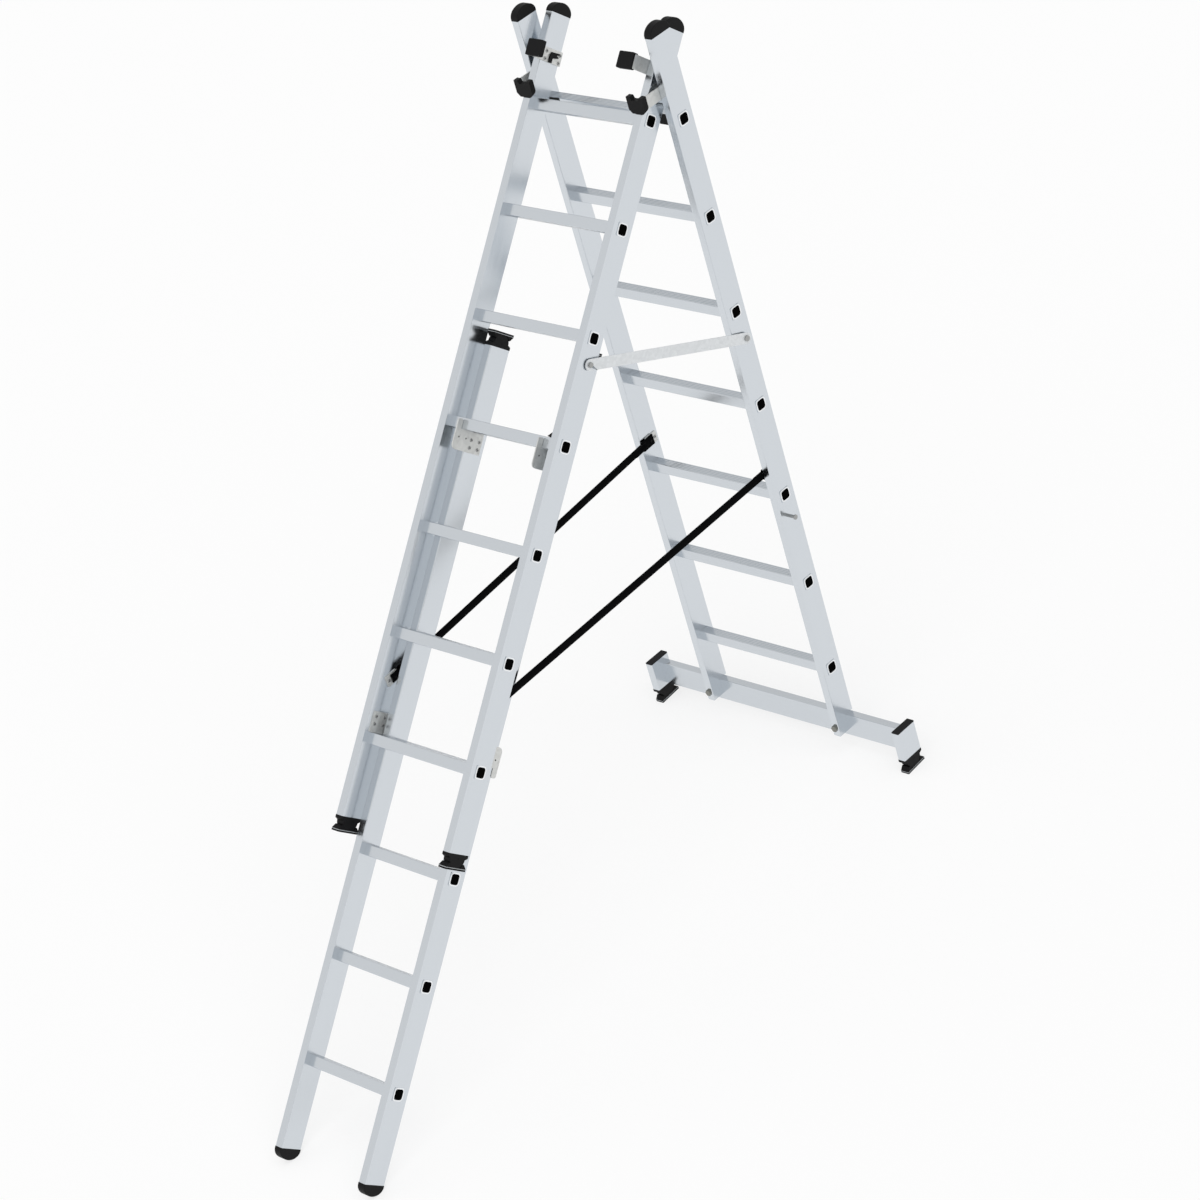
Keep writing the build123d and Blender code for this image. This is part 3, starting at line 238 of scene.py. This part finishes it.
rear_aluminium = extruded_aluminium("rear stringer aluminium", "#D4D9DE", REAR_LEAN)
front_aluminium = extruded_aluminium("front stringer aluminium", "#D4D9DE", FRONT_LEAN)
rear_rung_aluminium = extruded_aluminium("rear rung aluminium", "#D0D5DA", REAR_LEAN, along_x=True)
front_rung_aluminium = extruded_aluminium("front rung aluminium", "#D4D9DE", FRONT_LEAN, along_x=True)
plate_zinc = galvanised_steel("galvanised plate", "#CFD0CE", "#D9DAD8")
strip_zinc = galvanised_steel("galvanised strip", "#D8DBDD", "#E0E3E5")
rivet_zinc = bright_zinc("rivet steel", "#A6A7A6", 0.35)
rivet_black = moulded_plastic("black painted rivet", "#060607", 0.6, 1.0 * MM, shine=0.05)
bolt_zinc = bright_zinc("zinc bolt", "#85857F", 0.25)
pin_steel = bright_zinc("hinge pin steel", "#AAB0B5", 0.4)
# The rolled rims are the rungs' own aluminium: their near-white colour, lighter than the rungs, is painted
# highlight on the rolled edge.
rim_painted_highlight = bright_zinc("rolled rung rim painted highlight", "#F4F6F8", 0.25)
black_plastic = moulded_plastic("moulded black polypropylene", "#060607", 0.58, 1.2 * MM)
plug_plastic = moulded_plastic("rung plug polyethylene", "#020202", 0.8, 1.2 * MM, shine=0.02)
sole_rubber = moulded_plastic("sole rubber", "#060607", 0.66, 1.5 * MM)
sole_line = moulded_plastic("sole seam", "#A3A7A9", 0.5, 1.5 * MM)
webbing = woven_webbing("black polyester webbing", "#050506")
thread = moulded_plastic("sewing thread", "#101011", 0.7, 1.0 * MM)


def paint(node_name, material):
    """Puts one finish on every slot of a solid."""
    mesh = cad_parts[node_name].data
    mesh.materials.clear()
    mesh.materials.append(material)


for name in SECTIONS:
    stringer_finish = rear_aluminium if name == "rear" else front_aluminium
    rung_finish = rear_rung_aluminium if name == "rear" else front_rung_aluminium
    for side in ("left", "right"):
        paint(f"{name}_stringer_{side}", stringer_finish)
    for index in range(RUNG_COUNT):
        paint(f"{name}_rung_{index + 1}", rung_finish)
    paint(f"{name}_end_caps", black_plastic)
for name in ("middle", "lower", "stabiliser"):
    paint(f"{name}_foot_holders", black_plastic)
    for side in ("left", "right"):
        paint(f"{name}_sole_{side}", sole_rubber)
paint("stabiliser_bar", rear_rung_aluminium)
paint("stabiliser_posts", rear_aluminium)
paint("stabiliser_bolts", bolt_zinc)
for name in ("middle", "rear"):
    paint(f"{name}_guide_straps", plate_zinc)
    paint(f"{name}_guide_caps", black_plastic)
    paint(f"{name}_strap_plates", plate_zinc)
for name in ("middle", "lower"):
    paint(f"{name}_hook_plates", plate_zinc)
paint("rung_pads", black_plastic)
paint("hinge_pins", pin_steel)
paint("strut", strip_zinc)
paint("strut_pivot", rivet_zinc)
paint("strut_stud", rivet_zinc)


def keep(name, mesh):
    """A finished piece at the origin, with its place in its mesh."""
    piece = bpy.data.objects.new(name, mesh)
    bpy.context.scene.collection.objects.link(piece)
    return piece


def spots_mesh(name, spots):
    """A bare mesh with one vertex for each (point, normal) and the normals as an attribute."""
    mesh = bpy.data.meshes.new(name)
    mesh.from_pydata([point for point, normal in spots], [], [])
    facing = mesh.attributes.new("facing", "FLOAT_VECTOR", "POINT")
    for index, (point, normal) in enumerate(spots):
        facing.data[index].vector = normal
    return mesh


def repeat_tree(name, shape, sizes, material):
    """Geometry Nodes: one shape on every point, its z turned to the point's facing, with its finish.
    shape adds the repeated mesh and returns its socket; sizes are the named inputs."""
    tree = bpy.data.node_groups.new(name, "GeometryNodeTree")
    tree.interface.new_socket("Geometry", in_out="INPUT", socket_type="NodeSocketGeometry")
    for key, value in sizes.items():
        made = tree.interface.new_socket(key, in_out="INPUT", socket_type="NodeSocketFloat")
        made.default_value = value
    tree.interface.new_socket("Geometry", in_out="OUTPUT", socket_type="NodeSocketGeometry")
    start = add(tree, "NodeGroupInput")
    facing = add(tree, "GeometryNodeInputNamedAttribute", {"Name": "facing"}, data_type="FLOAT_VECTOR")
    turned = add(tree, "FunctionNodeAlignRotationToVector", {"Vector": facing.outputs[0]}, axis="Z")
    placed = add(tree, "GeometryNodeInstanceOnPoints", {
        "Points": start.outputs["Geometry"],
        "Instance": shape(tree, start),
        "Rotation": turned.outputs["Rotation"],
    })
    solid = add(tree, "GeometryNodeRealizeInstances", {"Geometry": placed.outputs["Instances"]})
    finished = add(tree, "GeometryNodeSetMaterial", {
        "Geometry": solid.outputs["Geometry"], "Material": material,
    })
    add(tree, "NodeGroupOutput", {"Geometry": finished.outputs["Geometry"]})
    return tree


def grown(name, spots, tree):
    """The plain mesh that a repeating tree makes on these spots, as a finished piece."""
    seed = keep(name + "_spots", spots_mesh(name + "_spots", spots))
    modifier = seed.modifiers.new("repeat", "NODES")
    modifier.node_group = tree
    for item in tree.interface.items_tree:
        if item.in_out == "INPUT" and item.socket_type == "NodeSocketFloat":
            modifier[item.identifier] = item.default_value
    bpy.context.view_layer.update()
    shown = seed.evaluated_get(bpy.context.evaluated_depsgraph_get())
    mesh = bpy.data.meshes.new_from_object(shown)
    mesh.name = name
    bpy.data.objects.remove(seed)
    return keep(name, mesh)


def rivet_dome(tree, start):
    """A shallow dome: a sphere squashed to the head's height, its lower half inside the plate."""
    ball = add(tree, "GeometryNodeMeshUVSphere", {
        "Segments": 20, "Rings": 10, "Radius": start.outputs["Head radius"],
    })
    ratio = add(tree, "ShaderNodeMath", {
        0: start.outputs["Head height"], 1: start.outputs["Head radius"],
    }, operation="DIVIDE")
    scale = add(tree, "ShaderNodeCombineXYZ", {"X": 1.0, "Y": 1.0, "Z": ratio.outputs["Value"]})
    flat = add(tree, "GeometryNodeTransform", {
        "Geometry": ball.outputs["Mesh"], "Scale": scale.outputs["Vector"],
    })
    smooth = add(tree, "GeometryNodeSetShadeSmooth", {"Geometry": flat.outputs["Geometry"]})
    return smooth.outputs["Geometry"]


def plug_block(tree, start):
    """A square plug with round corners, pressed into a rung's end."""
    square = add(tree, "GeometryNodeCurvePrimitiveQuadrilateral", {
        "Width": start.outputs["Plug size"], "Height": start.outputs["Plug size"],
    })
    rounded = add(tree, "GeometryNodeFilletCurve", {
        "Curve": square.outputs["Curve"], "Count": 5, "Radius": start.outputs["Plug corner"],
    }, mode="POLY")
    face = add(tree, "GeometryNodeFillCurve", {"Curve": rounded.outputs["Curve"]}, mode="NGONS")
    base = add(tree, "GeometryNodeFlipFaces", {"Mesh": face.outputs["Mesh"]})
    body = add(tree, "GeometryNodeExtrudeMesh", {
        "Mesh": face.outputs["Mesh"], "Offset Scale": start.outputs["Plug depth"], "Individual": False,
    })
    whole = add(tree, "GeometryNodeJoinGeometry")
    tree.links.new(base.outputs["Mesh"], whole.inputs[0])
    tree.links.new(body.outputs["Mesh"], whole.inputs[0])
    return whole.outputs["Geometry"]


def rolled_rim(tree, start):
    """The bead where a rung's end is rolled over the stringer: a round bar bent to a rounded square."""
    square = add(tree, "GeometryNodeCurvePrimitiveQuadrilateral", {
        "Width": start.outputs["Rim size"], "Height": start.outputs["Rim size"],
    })
    rounded = add(tree, "GeometryNodeFilletCurve", {
        "Curve": square.outputs["Curve"], "Count": 6, "Radius": start.outputs["Rim corner"],
    }, mode="POLY")
    bar = add(tree, "GeometryNodeCurvePrimitiveCircle", {
        "Resolution": 12, "Radius": start.outputs["Bead radius"],
    })
    bead = add(tree, "GeometryNodeCurveToMesh", {
        "Curve": rounded.outputs["Curve"], "Profile Curve": bar.outputs["Curve"],
    })
    smooth = add(tree, "GeometryNodeSetShadeSmooth", {"Geometry": bead.outputs["Mesh"]})
    return smooth.outputs["Geometry"]


def hole_shade_disc(tree, start):
    """A thin black disc of painted shade that stands for a small hole: a hole punched through a plate, and
    the stem hole of a rivet.
    """
    disc = add(tree, "GeometryNodeMeshCylinder", {
        "Vertices": 20, "Radius": start.outputs["Hole radius"], "Depth": start.outputs["Disc depth"],
    }, fill_type="NGON")
    return disc.outputs["Mesh"]


def stitch_bead(tree, start):
    """One stitch: a short thread lying along the webbing, pulled in at both ends."""
    ball = add(tree, "GeometryNodeMeshUVSphere", {
        "Segments": 8, "Rings": 6, "Radius": start.outputs["Stitch length"],
    })
    scale = add(tree, "ShaderNodeCombineXYZ", {"X": 0.3, "Y": 0.3, "Z": 0.5})
    thin = add(tree, "GeometryNodeTransform", {
        "Geometry": ball.outputs["Mesh"], "Scale": scale.outputs["Vector"],
    })
    smooth = add(tree, "GeometryNodeSetShadeSmooth", {"Geometry": thin.outputs["Geometry"]})
    return smooth.outputs["Geometry"]


# Rivet heads: hook plates, guide straps and the webbing's ends
HOOK_RIVETS = [(y * MM, z * MM - LOW_RUNG) for y in (-9.5, 20.5) for z in (37, 57)]
MIDDLE_GUIDE_RIVETS = [(y * MM, z * MM) for y in (-21, 30) for z in (116, 136)]
REAR_GUIDE_RIVETS = [(y * MM, z * MM) for y in (-14, 16) for z in (76, 92)]
PLATE_THICK = 3 * MM
WEB_AT_MIDDLE = Vector((0, 12, -1518)) * MM
WEB_AT_REAR = Vector((0, 7, -1043)) * MM
web_start = middle @ WEB_AT_MIDDLE
web_end = rear @ WEB_AT_REAR
web_along = (web_end - web_start).normalized()
web_span = (web_end - web_start).length
WEB_PLATE = 2.5 * MM
WEB_HEAD = 6.5 * MM
PLATE_RIVET = -13 * MM
WEB_RIVET = 8 * MM

HEAD_HEIGHT = 2.4 * MM
STEM_SUNK = 0.1 * MM
RIVET_SIZES = {"Head radius": 5 * MM, "Head height": HEAD_HEIGHT}
rivets = repeat_tree("rivet heads", rivet_dome, RIVET_SIZES, rivet_zinc)
# Blind rivets: the pulled stem leaves a hole in the middle of each head, drawn as a thin black disc of
# painted shade.
STEM_SIZES = {"Hole radius": 1.7 * MM, "Disc depth": 0.4 * MM}
stem_shades = repeat_tree("rivet stem hole shade", hole_shade_disc, STEM_SIZES, black_plastic)
RIVETED = {
    "rear": (REAR_GUIDE_RIVETS, web_end),
    "middle": (HOOK_RIVETS + MIDDLE_GUIDE_RIVETS, web_start),
    "lower": (HOOK_RIVETS, None),
}
for name, (places, web_point) in RIVETED.items():
    matrix, width = SECTIONS[name]
    inner = width / 2 - STRINGER_WIDTH
    spots = []
    on_webbing = []
    for sign in (-1, 1):
        for y, z in places:
            spots.append((matrix @ Vector((sign * (inner - PLATE_THICK), y, z)), (-sign, 0, 0)))
        if web_point is not None:
            inward = 1 if name == "middle" else -1
            for along, lift in ((PLATE_RIVET, WEB_PLATE), (WEB_RIVET, WEB_HEAD)):
                spot = web_point + web_along * (inward * along) + Vector((sign * (inner - lift), 0, 0))
                spots.append((spot, (-sign, 0, 0)))
            on_webbing.append(len(spots) - 1)
    heads = grown(f"{name}_rivet_heads", spots, rivets)
    # The heads on the webbing are black, like the cloth round them.
    heads.data.materials.append(rivet_black)
    black_slot = len(heads.data.materials) - 1
    head_faces = len(heads.data.polygons) // len(spots)
    for face in heads.data.polygons:
        if face.index // head_faces in on_webbing:
            face.material_index = black_slot
    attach(heads, f"{name}_section")
    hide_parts(f"{name}_rivets")
    # Black discs just under each head's top: painted shade of the stem holes.
    tops = [(point + Vector(normal) * (HEAD_HEIGHT - STEM_SUNK), normal) for point, normal in spots]
    stem_shade_discs = grown(f"{name}_rivet_stems", tops, stem_shades)
    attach(stem_shade_discs, f"{name}_section")

# Small holes in the hook plates, near the finger that goes over the rung, drawn as black discs of painted
# shade on both faces
HOOK_HOLES = [(41 * MM, -1643.7 * MM), (67.7 * MM, -1643.7 * MM)]
HOLE_SIZES = {"Hole radius": 2.2 * MM, "Disc depth": 0.2 * MM}
holes = repeat_tree("plate hole shade", hole_shade_disc, HOLE_SIZES, black_plastic)
for name in ("middle", "lower"):
    matrix, width = SECTIONS[name]
    inner = width / 2 - STRINGER_WIDTH
    spots = []
    for sign in (-1, 1):
        for y, z in HOOK_HOLES:
            spots.append((matrix @ Vector((sign * (inner - PLATE_THICK), y, z)), (-sign, 0, 0)))
            spots.append((matrix @ Vector((sign * inner, y, z)), (sign, 0, 0)))
    piece = grown(f"{name}_plate_hole_shade", spots, holes)
    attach(piece, f"{name}_section")

# Rung plugs: black squares inside the rolled rim of each rung's end
PLUG_DEPTH = 8 * MM
PLUG_PROUD = 0.2 * MM
LIP_PROUD = 1.5 * MM
RIM_SUNK = 1.6 * MM
PLUG_SIZES = {"Plug size": 27.6 * MM, "Plug corner": 7 * MM, "Plug depth": PLUG_DEPTH}
RIM_SIZES = {"Rim size": 31.6 * MM, "Rim corner": 8.5 * MM, "Bead radius": 2.4 * MM}
plugs = repeat_tree("rung plugs", plug_block, PLUG_SIZES, plug_plastic)
# The rims' near-white finish is painted highlight.
rims = repeat_tree("rung rims", rolled_rim, RIM_SIZES, rim_painted_highlight)
for name, (matrix, width) in SECTIONS.items():
    face = width / 2 + LIP_PROUD
    plug_spots = []
    rim_spots = []
    for index in range(RUNG_COUNT):
        for sign in (-1, 1):
            z = -index * PITCH
            plug_spots.append((Vector((sign * (face + PLUG_PROUD - PLUG_DEPTH), 0, z)), (sign, 0, 0)))
            rim_spots.append((Vector((sign * (face - RIM_SUNK), 0, z)), (sign, 0, 0)))
    for kind, spots, tree, slot in (
        ("rung_plugs", plug_spots, plugs, "black_plastic"),
        ("rung_rims", rim_spots, rims, "aluminium_rung"),
    ):
        piece = grown(f"{name}_{kind}", spots, tree)
        piece.data.transform(matrix)
        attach(piece, f"{name}_section")


SOFT_EDGE = 0.8 * MM


def flat_piece(name, matrix, outline, near, far, material):
    """A plate from its outline in a section's y and z, between two places across, with soft edges."""
    mesh = bmesh.new()
    front = [mesh.verts.new((near, y, z)) for y, z in outline]
    rear_ring = [mesh.verts.new((far, y, z)) for y, z in outline]
    mesh.faces.new(front)
    mesh.faces.new(list(reversed(rear_ring)))
    for k in range(len(outline)):
        n = (k + 1) % len(outline)
        mesh.faces.new((front[n], front[k], rear_ring[k], rear_ring[n]))
    bmesh.ops.recalc_face_normals(mesh, faces=mesh.faces)
    bmesh.ops.bevel(mesh, geom=mesh.edges[:], offset=SOFT_EDGE, segments=2, affect="EDGES", profile=0.5)
    mesh.transform(matrix)
    made = bpy.data.meshes.new(name)
    mesh.to_mesh(made)
    mesh.free()
    made.materials.append(material)
    return keep(name, made)


# Latches: an angled black catch on the inner face of each guide strap of the middle section
LATCH_OUTLINE = [
    (-8, 109.5), (3, 109.5), (3, 122), (22, 126), (24, 129),
    (15, 132.5), (25, 135), (25, 139.5), (-4, 137), (-9, 129),
]
LATCH_THICK = 4 * MM
guide_face = MIDDLE_WIDTH / 2 - STRINGER_WIDTH - PLATE_THICK
for side, sign in (("left", -1), ("right", 1)):
    outline = [(y * MM, z * MM) for y, z in LATCH_OUTLINE]
    latch = flat_piece(
        f"guide_latch_{side}", middle, outline,
        sign * guide_face, sign * (guide_face - LATCH_THICK), black_plastic,
    )
    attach(latch, "middle_section")

# Catch: a small black pawl beside the lower section's right-hand hook, over the rung that it carries
CATCH_OUTLINE = [(60, -1697), (49, -1695.5), (36, -1695.5), (36, -1718)]
CATCH_FROM = 3 * MM
CATCH_TO = 14 * MM
hook_side = LOWER_WIDTH / 2 - STRINGER_WIDTH
outline = [(y * MM, z * MM) for y, z in CATCH_OUTLINE]
catch = flat_piece(
    "hook_catch", lower, outline, hook_side + CATCH_FROM, hook_side + CATCH_TO, black_plastic
)
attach(catch, "lower_section")

# Seams: the grey line where each rubber sole is moulded to its hinged top
SOLE_LENGTH = 72 * MM
SOLE_WIDTH = 26 * MM
SEAM_PROUD = 0.15 * MM
SEAM_LOW = -25.6 * MM
SEAM_HIGH = -24 * MM
STRINGER_FOOT = 1891 * MM
POST_FOOT = 1914 * MM
PIN_DROP = 11.5 * MM
FOOT_PIN = -(STRINGER_FOOT + PIN_DROP)
POST_PIN = -(POST_FOOT + PIN_DROP)
POST_X = 458.6 * MM
# The stabiliser's soles lie level, so their frame is moved to the pin and not leaned.
level_frame =Matrix.Translation(rear @ Vector((0, 0, POST_PIN)))
SOLED = {
    "middle": (middle @ Matrix.Translation((0, 0, FOOT_PIN)), (MIDDLE_WIDTH - STRINGER_WIDTH) / 2),
    "lower": (lower @ Matrix.Translation((0, 0, FOOT_PIN)), (LOWER_WIDTH - STRINGER_WIDTH) / 2),
    "stabiliser": (level_frame, POST_X),
}


def seam_mesh(name, matrix, centre_x):
    """A thin band round a sole, a hair proud of it, closed on itself."""
    mesh = bmesh.new()
    rings = []
    for grow, z in ((0, SEAM_LOW), (SEAM_PROUD, SEAM_LOW), (SEAM_PROUD, SEAM_HIGH), (0, SEAM_HIGH)):
        x = SOLE_WIDTH / 2 + grow
        y = SOLE_LENGTH / 2 + grow
        corners = ((-x, -y), (x, -y), (x, y), (-x, y))
        rings.append([mesh.verts.new(matrix @ Vector((centre_x + cx, cy, z))) for cx, cy in corners])
    for ring, following in zip(rings, rings[1:] + rings[:1]):
        for k in range(4):
            n = (k + 1) % 4
            mesh.faces.new((ring[k], ring[n], following[n], following[k]))
    bmesh.ops.recalc_face_normals(mesh, faces=mesh.faces)
    made = bpy.data.meshes.new(name)
    mesh.to_mesh(made)
    mesh.free()
    made.materials.append(sole_line)
    return made


for name, (matrix, reach) in SOLED.items():
    for side, sign in (("left", -1), ("right", 1)):
        seam = keep(f"{name}_seam_{side}", seam_mesh(f"{name}_seam_{side}", matrix, sign * reach))
        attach(seam, f"{name}_sole_{side}")

# Webbing: flat on each plate, straight and taut between, sewn double at the ends,
# in a wider sleeve at the rear one
WEB_WIDTH = 24 * MM
SLEEVE_WIDTH = 31 * MM
SLEEVE_LENGTH = 41 * MM
WEB_THICK = 2 * MM
WEB_TAIL = 4 * MM
WEB_FLAT = 24 * MM
WEB_DOUBLE = 75 * MM
WEB_EDGE = 0.7 * MM
WEB_STEP = 1 * MM
WEB_RINGS = 40
ROUNDING = 1e-9
middle_inner = MIDDLE_WIDTH / 2 - STRINGER_WIDTH
rear_inner = REAR_WIDTH / 2 - STRINGER_WIDTH


def web_offset(along):
    """How far the strap's outer face stands out from its middle-section end, at a distance along it."""
    drop = rear_inner - middle_inner
    part = min(max((along - WEB_FLAT) / (web_span - 2 * WEB_FLAT), 0), 1)
    return drop * part


def strap_mesh(name, sign):
    """A strap as rings of eight points, rounded at its edges, with a map in metres along and across."""
    across = web_along.cross(Vector((sign, 0, 0))).normalized()
    base = web_start + Vector((sign * (middle_inner - WEB_PLATE), 0, 0))
    sewn = web_span - WEB_DOUBLE
    sleeve = web_span - SLEEVE_LENGTH
    stations = [-WEB_TAIL, -WEB_TAIL + WEB_STEP, 0, WEB_FLAT, WEB_DOUBLE - WEB_STEP, WEB_DOUBLE]
    for step in range(1, WEB_RINGS):
        stations.append(WEB_DOUBLE + (web_span - 2 * WEB_DOUBLE) * step / WEB_RINGS)
    stations += [sewn, sewn + WEB_STEP, sleeve, sleeve + WEB_STEP, web_span - WEB_FLAT, web_span]
    stations += [web_span + WEB_TAIL - WEB_STEP, web_span + WEB_TAIL]
    mesh = bmesh.new()
    weave = mesh.loops.layers.uv.new("weave")
    rings = []
    for along in stations:
        sleeved = along >= sleeve + WEB_STEP - ROUNDING
        double = along <= WEB_DOUBLE - WEB_STEP + ROUNDING or along >= sewn + WEB_STEP - ROUNDING
        half = (SLEEVE_WIDTH if sleeved else WEB_WIDTH) / 2
        thick = 2 * WEB_THICK if double else WEB_THICK
        flat = half - WEB_EDGE
        outline = [
            (-half, -WEB_EDGE), (-flat, 0), (flat, 0), (half, -WEB_EDGE),
            (half, WEB_EDGE - thick), (flat, -thick), (-flat, -thick), (-half, WEB_EDGE - thick),
        ]
        centre = base + web_along * along + Vector((sign * web_offset(along), 0, 0))
        ring = [mesh.verts.new(centre + across * a + Vector((sign * b, 0, 0))) for a, b in outline]
        rings.append((along, ring))
    # Millimetres round the strap at each of the eight points, and back at the first.
    wide = WEB_WIDTH / MM
    girth = [0, 1, wide - 1, wide, wide + 1, wide + 2, 2 * wide, 2 * wide + 1, 2 * wide + 2]
    for (first, ring), (second, following) in zip(rings, rings[1:]):
        for k in range(8):
            n = (k + 1) % 8
            face = mesh.faces.new((ring[k], ring[n], following[n], following[k]))
            face.smooth = True
            corners = [(first, girth[k]), (first, girth[k + 1]), (second, girth[k + 1]), (second, girth[k])]
            for loop, (u, v) in zip(face.loops, corners):
                loop[weave].uv = (u, v * MM)
    mesh.faces.new(list(reversed(rings[0][1])))
    mesh.faces.new(rings[-1][1])
    bmesh.ops.recalc_face_normals(mesh, faces=mesh.faces)
    made = bpy.data.meshes.new(name)
    mesh.to_mesh(made)
    mesh.free()
    made.materials.append(webbing)
    return made


for side, sign in (("left", -1), ("right", 1)):
    strap = keep(f"webbing_{side}", strap_mesh(f"webbing_{side}", sign))
    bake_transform(strap)
    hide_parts(f"strap_{side}")

# Stitches: two rows along each sewn end
stitches = repeat_tree("webbing stitches", stitch_bead, {"Stitch length": 2.4 * MM}, thread)
STITCH_STEP = 3.2 * MM
STITCH_ROW = 8 * MM
STITCH_FROM = 4 * MM
STITCH_ENDS = 6 * MM
for name, end_point, way in (("middle", web_start, 1), ("rear", web_end, -1)):
    spots = []
    for sign in (-1, 1):
        across = web_along.cross(Vector((sign, 0, 0))).normalized()
        count = int((WEB_DOUBLE - WEB_FLAT - STITCH_ENDS) / STITCH_STEP)
        for step in range(count):
            along = WEB_FLAT + STITCH_FROM + step * STITCH_STEP
            offset = web_offset(along if way == 1 else web_span - along)
            out = middle_inner - WEB_PLATE + offset - 2 * WEB_THICK
            point = end_point + web_along * (way * along)
            for row in (-STITCH_ROW, STITCH_ROW):
                spot = Vector((sign * out, point.y, point.z)) + across * row
                spots.append((spot, tuple(web_along)))
    piece = grown(f"{name}_stitches", spots, stitches)
    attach(piece, f"{name}_section")

# Floor and light
FLOOR_HALF = 40
FLOOR_GLOW = 0.70
floor_corners = [(x * FLOOR_HALF, y * FLOOR_HALF, 0) for x, y in ((-1, -1), (1, -1), (1, 1), (-1, 1))]
floor_mesh = bpy.data.meshes.new("floor")
floor_mesh.from_pydata(floor_corners, [], [(0, 1, 2, 3)])
floor = keep("floor", floor_mesh)
floor_white = bpy.data.materials.new("pale floor")
floor_white.use_nodes = True
tree = floor_white.node_tree
tree.nodes.clear()
lit = add(tree, "ShaderNodeBsdfDiffuse", {"Color": colour("#F4F4F4")})
glow = add(tree, "ShaderNodeEmission", {"Color": (1, 1, 1, 1), "Strength": 1.0})
rays = add(tree, "ShaderNodeLightPath").outputs
glossy = add(
    tree, "ShaderNodeMath", {0: rays["Is Camera Ray"], 1: rays["Is Glossy Ray"]}, operation="MAXIMUM"
)
seen = add(
    tree, "ShaderNodeMath", {0: glossy.outputs["Value"], 1: rays["Is Transmission Ray"]}, operation="MAXIMUM"
)
share = add(tree, "ShaderNodeMath", {0: seen.outputs["Value"], 1: FLOOR_GLOW}, operation="MULTIPLY")
chosen = add(tree, "ShaderNodeMixShader", {
    0: share.outputs["Value"], 1: lit.outputs["BSDF"], 2: glow.outputs["Emission"],
})
add(tree, "ShaderNodeOutputMaterial", {"Surface": chosen.outputs["Shader"]})
floor_mesh.materials.append(floor_white)

# World: white to the camera and round the horizon; metal sees it fall to a soft grey overhead,
# and a little more behind the ladder
world = bpy.data.worlds.new("studio")
world.use_nodes = True
tree = world.node_tree
tree.nodes.clear()
rays = add(tree, "ShaderNodeLightPath").outputs
heading = add(tree, "ShaderNodeTexCoord").outputs["Generated"]
parts = add(tree, "ShaderNodeSeparateXYZ", {"Vector": heading})
height = add(tree, "ShaderNodeMapRange", {
    "Value": parts.outputs["Z"], "From Min": 0.0, "From Max": 0.35, "To Min": 1.0, "To Max": 0.85,
})
behind = add(tree, "ShaderNodeMapRange", {
    "Value": parts.outputs["Y"], "From Min": -0.2, "From Max": 0.55, "To Min": 0.0, "To Max": 0.10,
})
raised = add(tree, "ShaderNodeMath", {0: parts.outputs["Z"], 1: 0.0}, operation="GREATER_THAN")
dimmed = add(
    tree, "ShaderNodeMath", {0: behind.outputs["Result"], 1: raised.outputs["Value"]}, operation="MULTIPLY"
)
overhead = add(
    tree, "ShaderNodeMath", {0: height.outputs["Result"], 1: dimmed.outputs["Value"]}, operation="SUBTRACT"
)
seen = add(
    tree, "ShaderNodeMath", {0: rays["Is Camera Ray"], 1: rays["Is Transmission Ray"]}, operation="MAXIMUM"
)
soft = add(tree, "ShaderNodeMix", {0: rays["Is Glossy Ray"], 2: 0.55, 3: overhead.outputs["Value"]})
strength = add(tree, "ShaderNodeMix", {0: seen.outputs["Value"], 2: soft.outputs[0], 3: 1.0})
sky = add(tree, "ShaderNodeBackground", {"Color": (1, 1, 1, 1), "Strength": strength.outputs[0]})
add(tree, "ShaderNodeOutputWorld", {"Surface": sky.outputs["Background"]})
bpy.context.scene.world = world


def softlight(name, comes_from, strength, spread):
    """A wide soft light from one side, even over the floor; metal shows the white room, not the lamp."""
    lamp = bpy.data.lights.new(name, "SUN")
    lamp.energy = strength
    lamp.angle = math.radians(spread)
    made = bpy.data.objects.new(name, lamp)
    made.rotation_euler = Vector(comes_from).to_track_quat("Z", "Y").to_euler()
    made.visible_glossy = False
    bpy.context.scene.collection.objects.link(made)


softlight("key", (0.6, -0.35, 0.9), 1.5, 70)
softlight("fill", (-0.6, -0.7, 0.6), 0.6, 90)
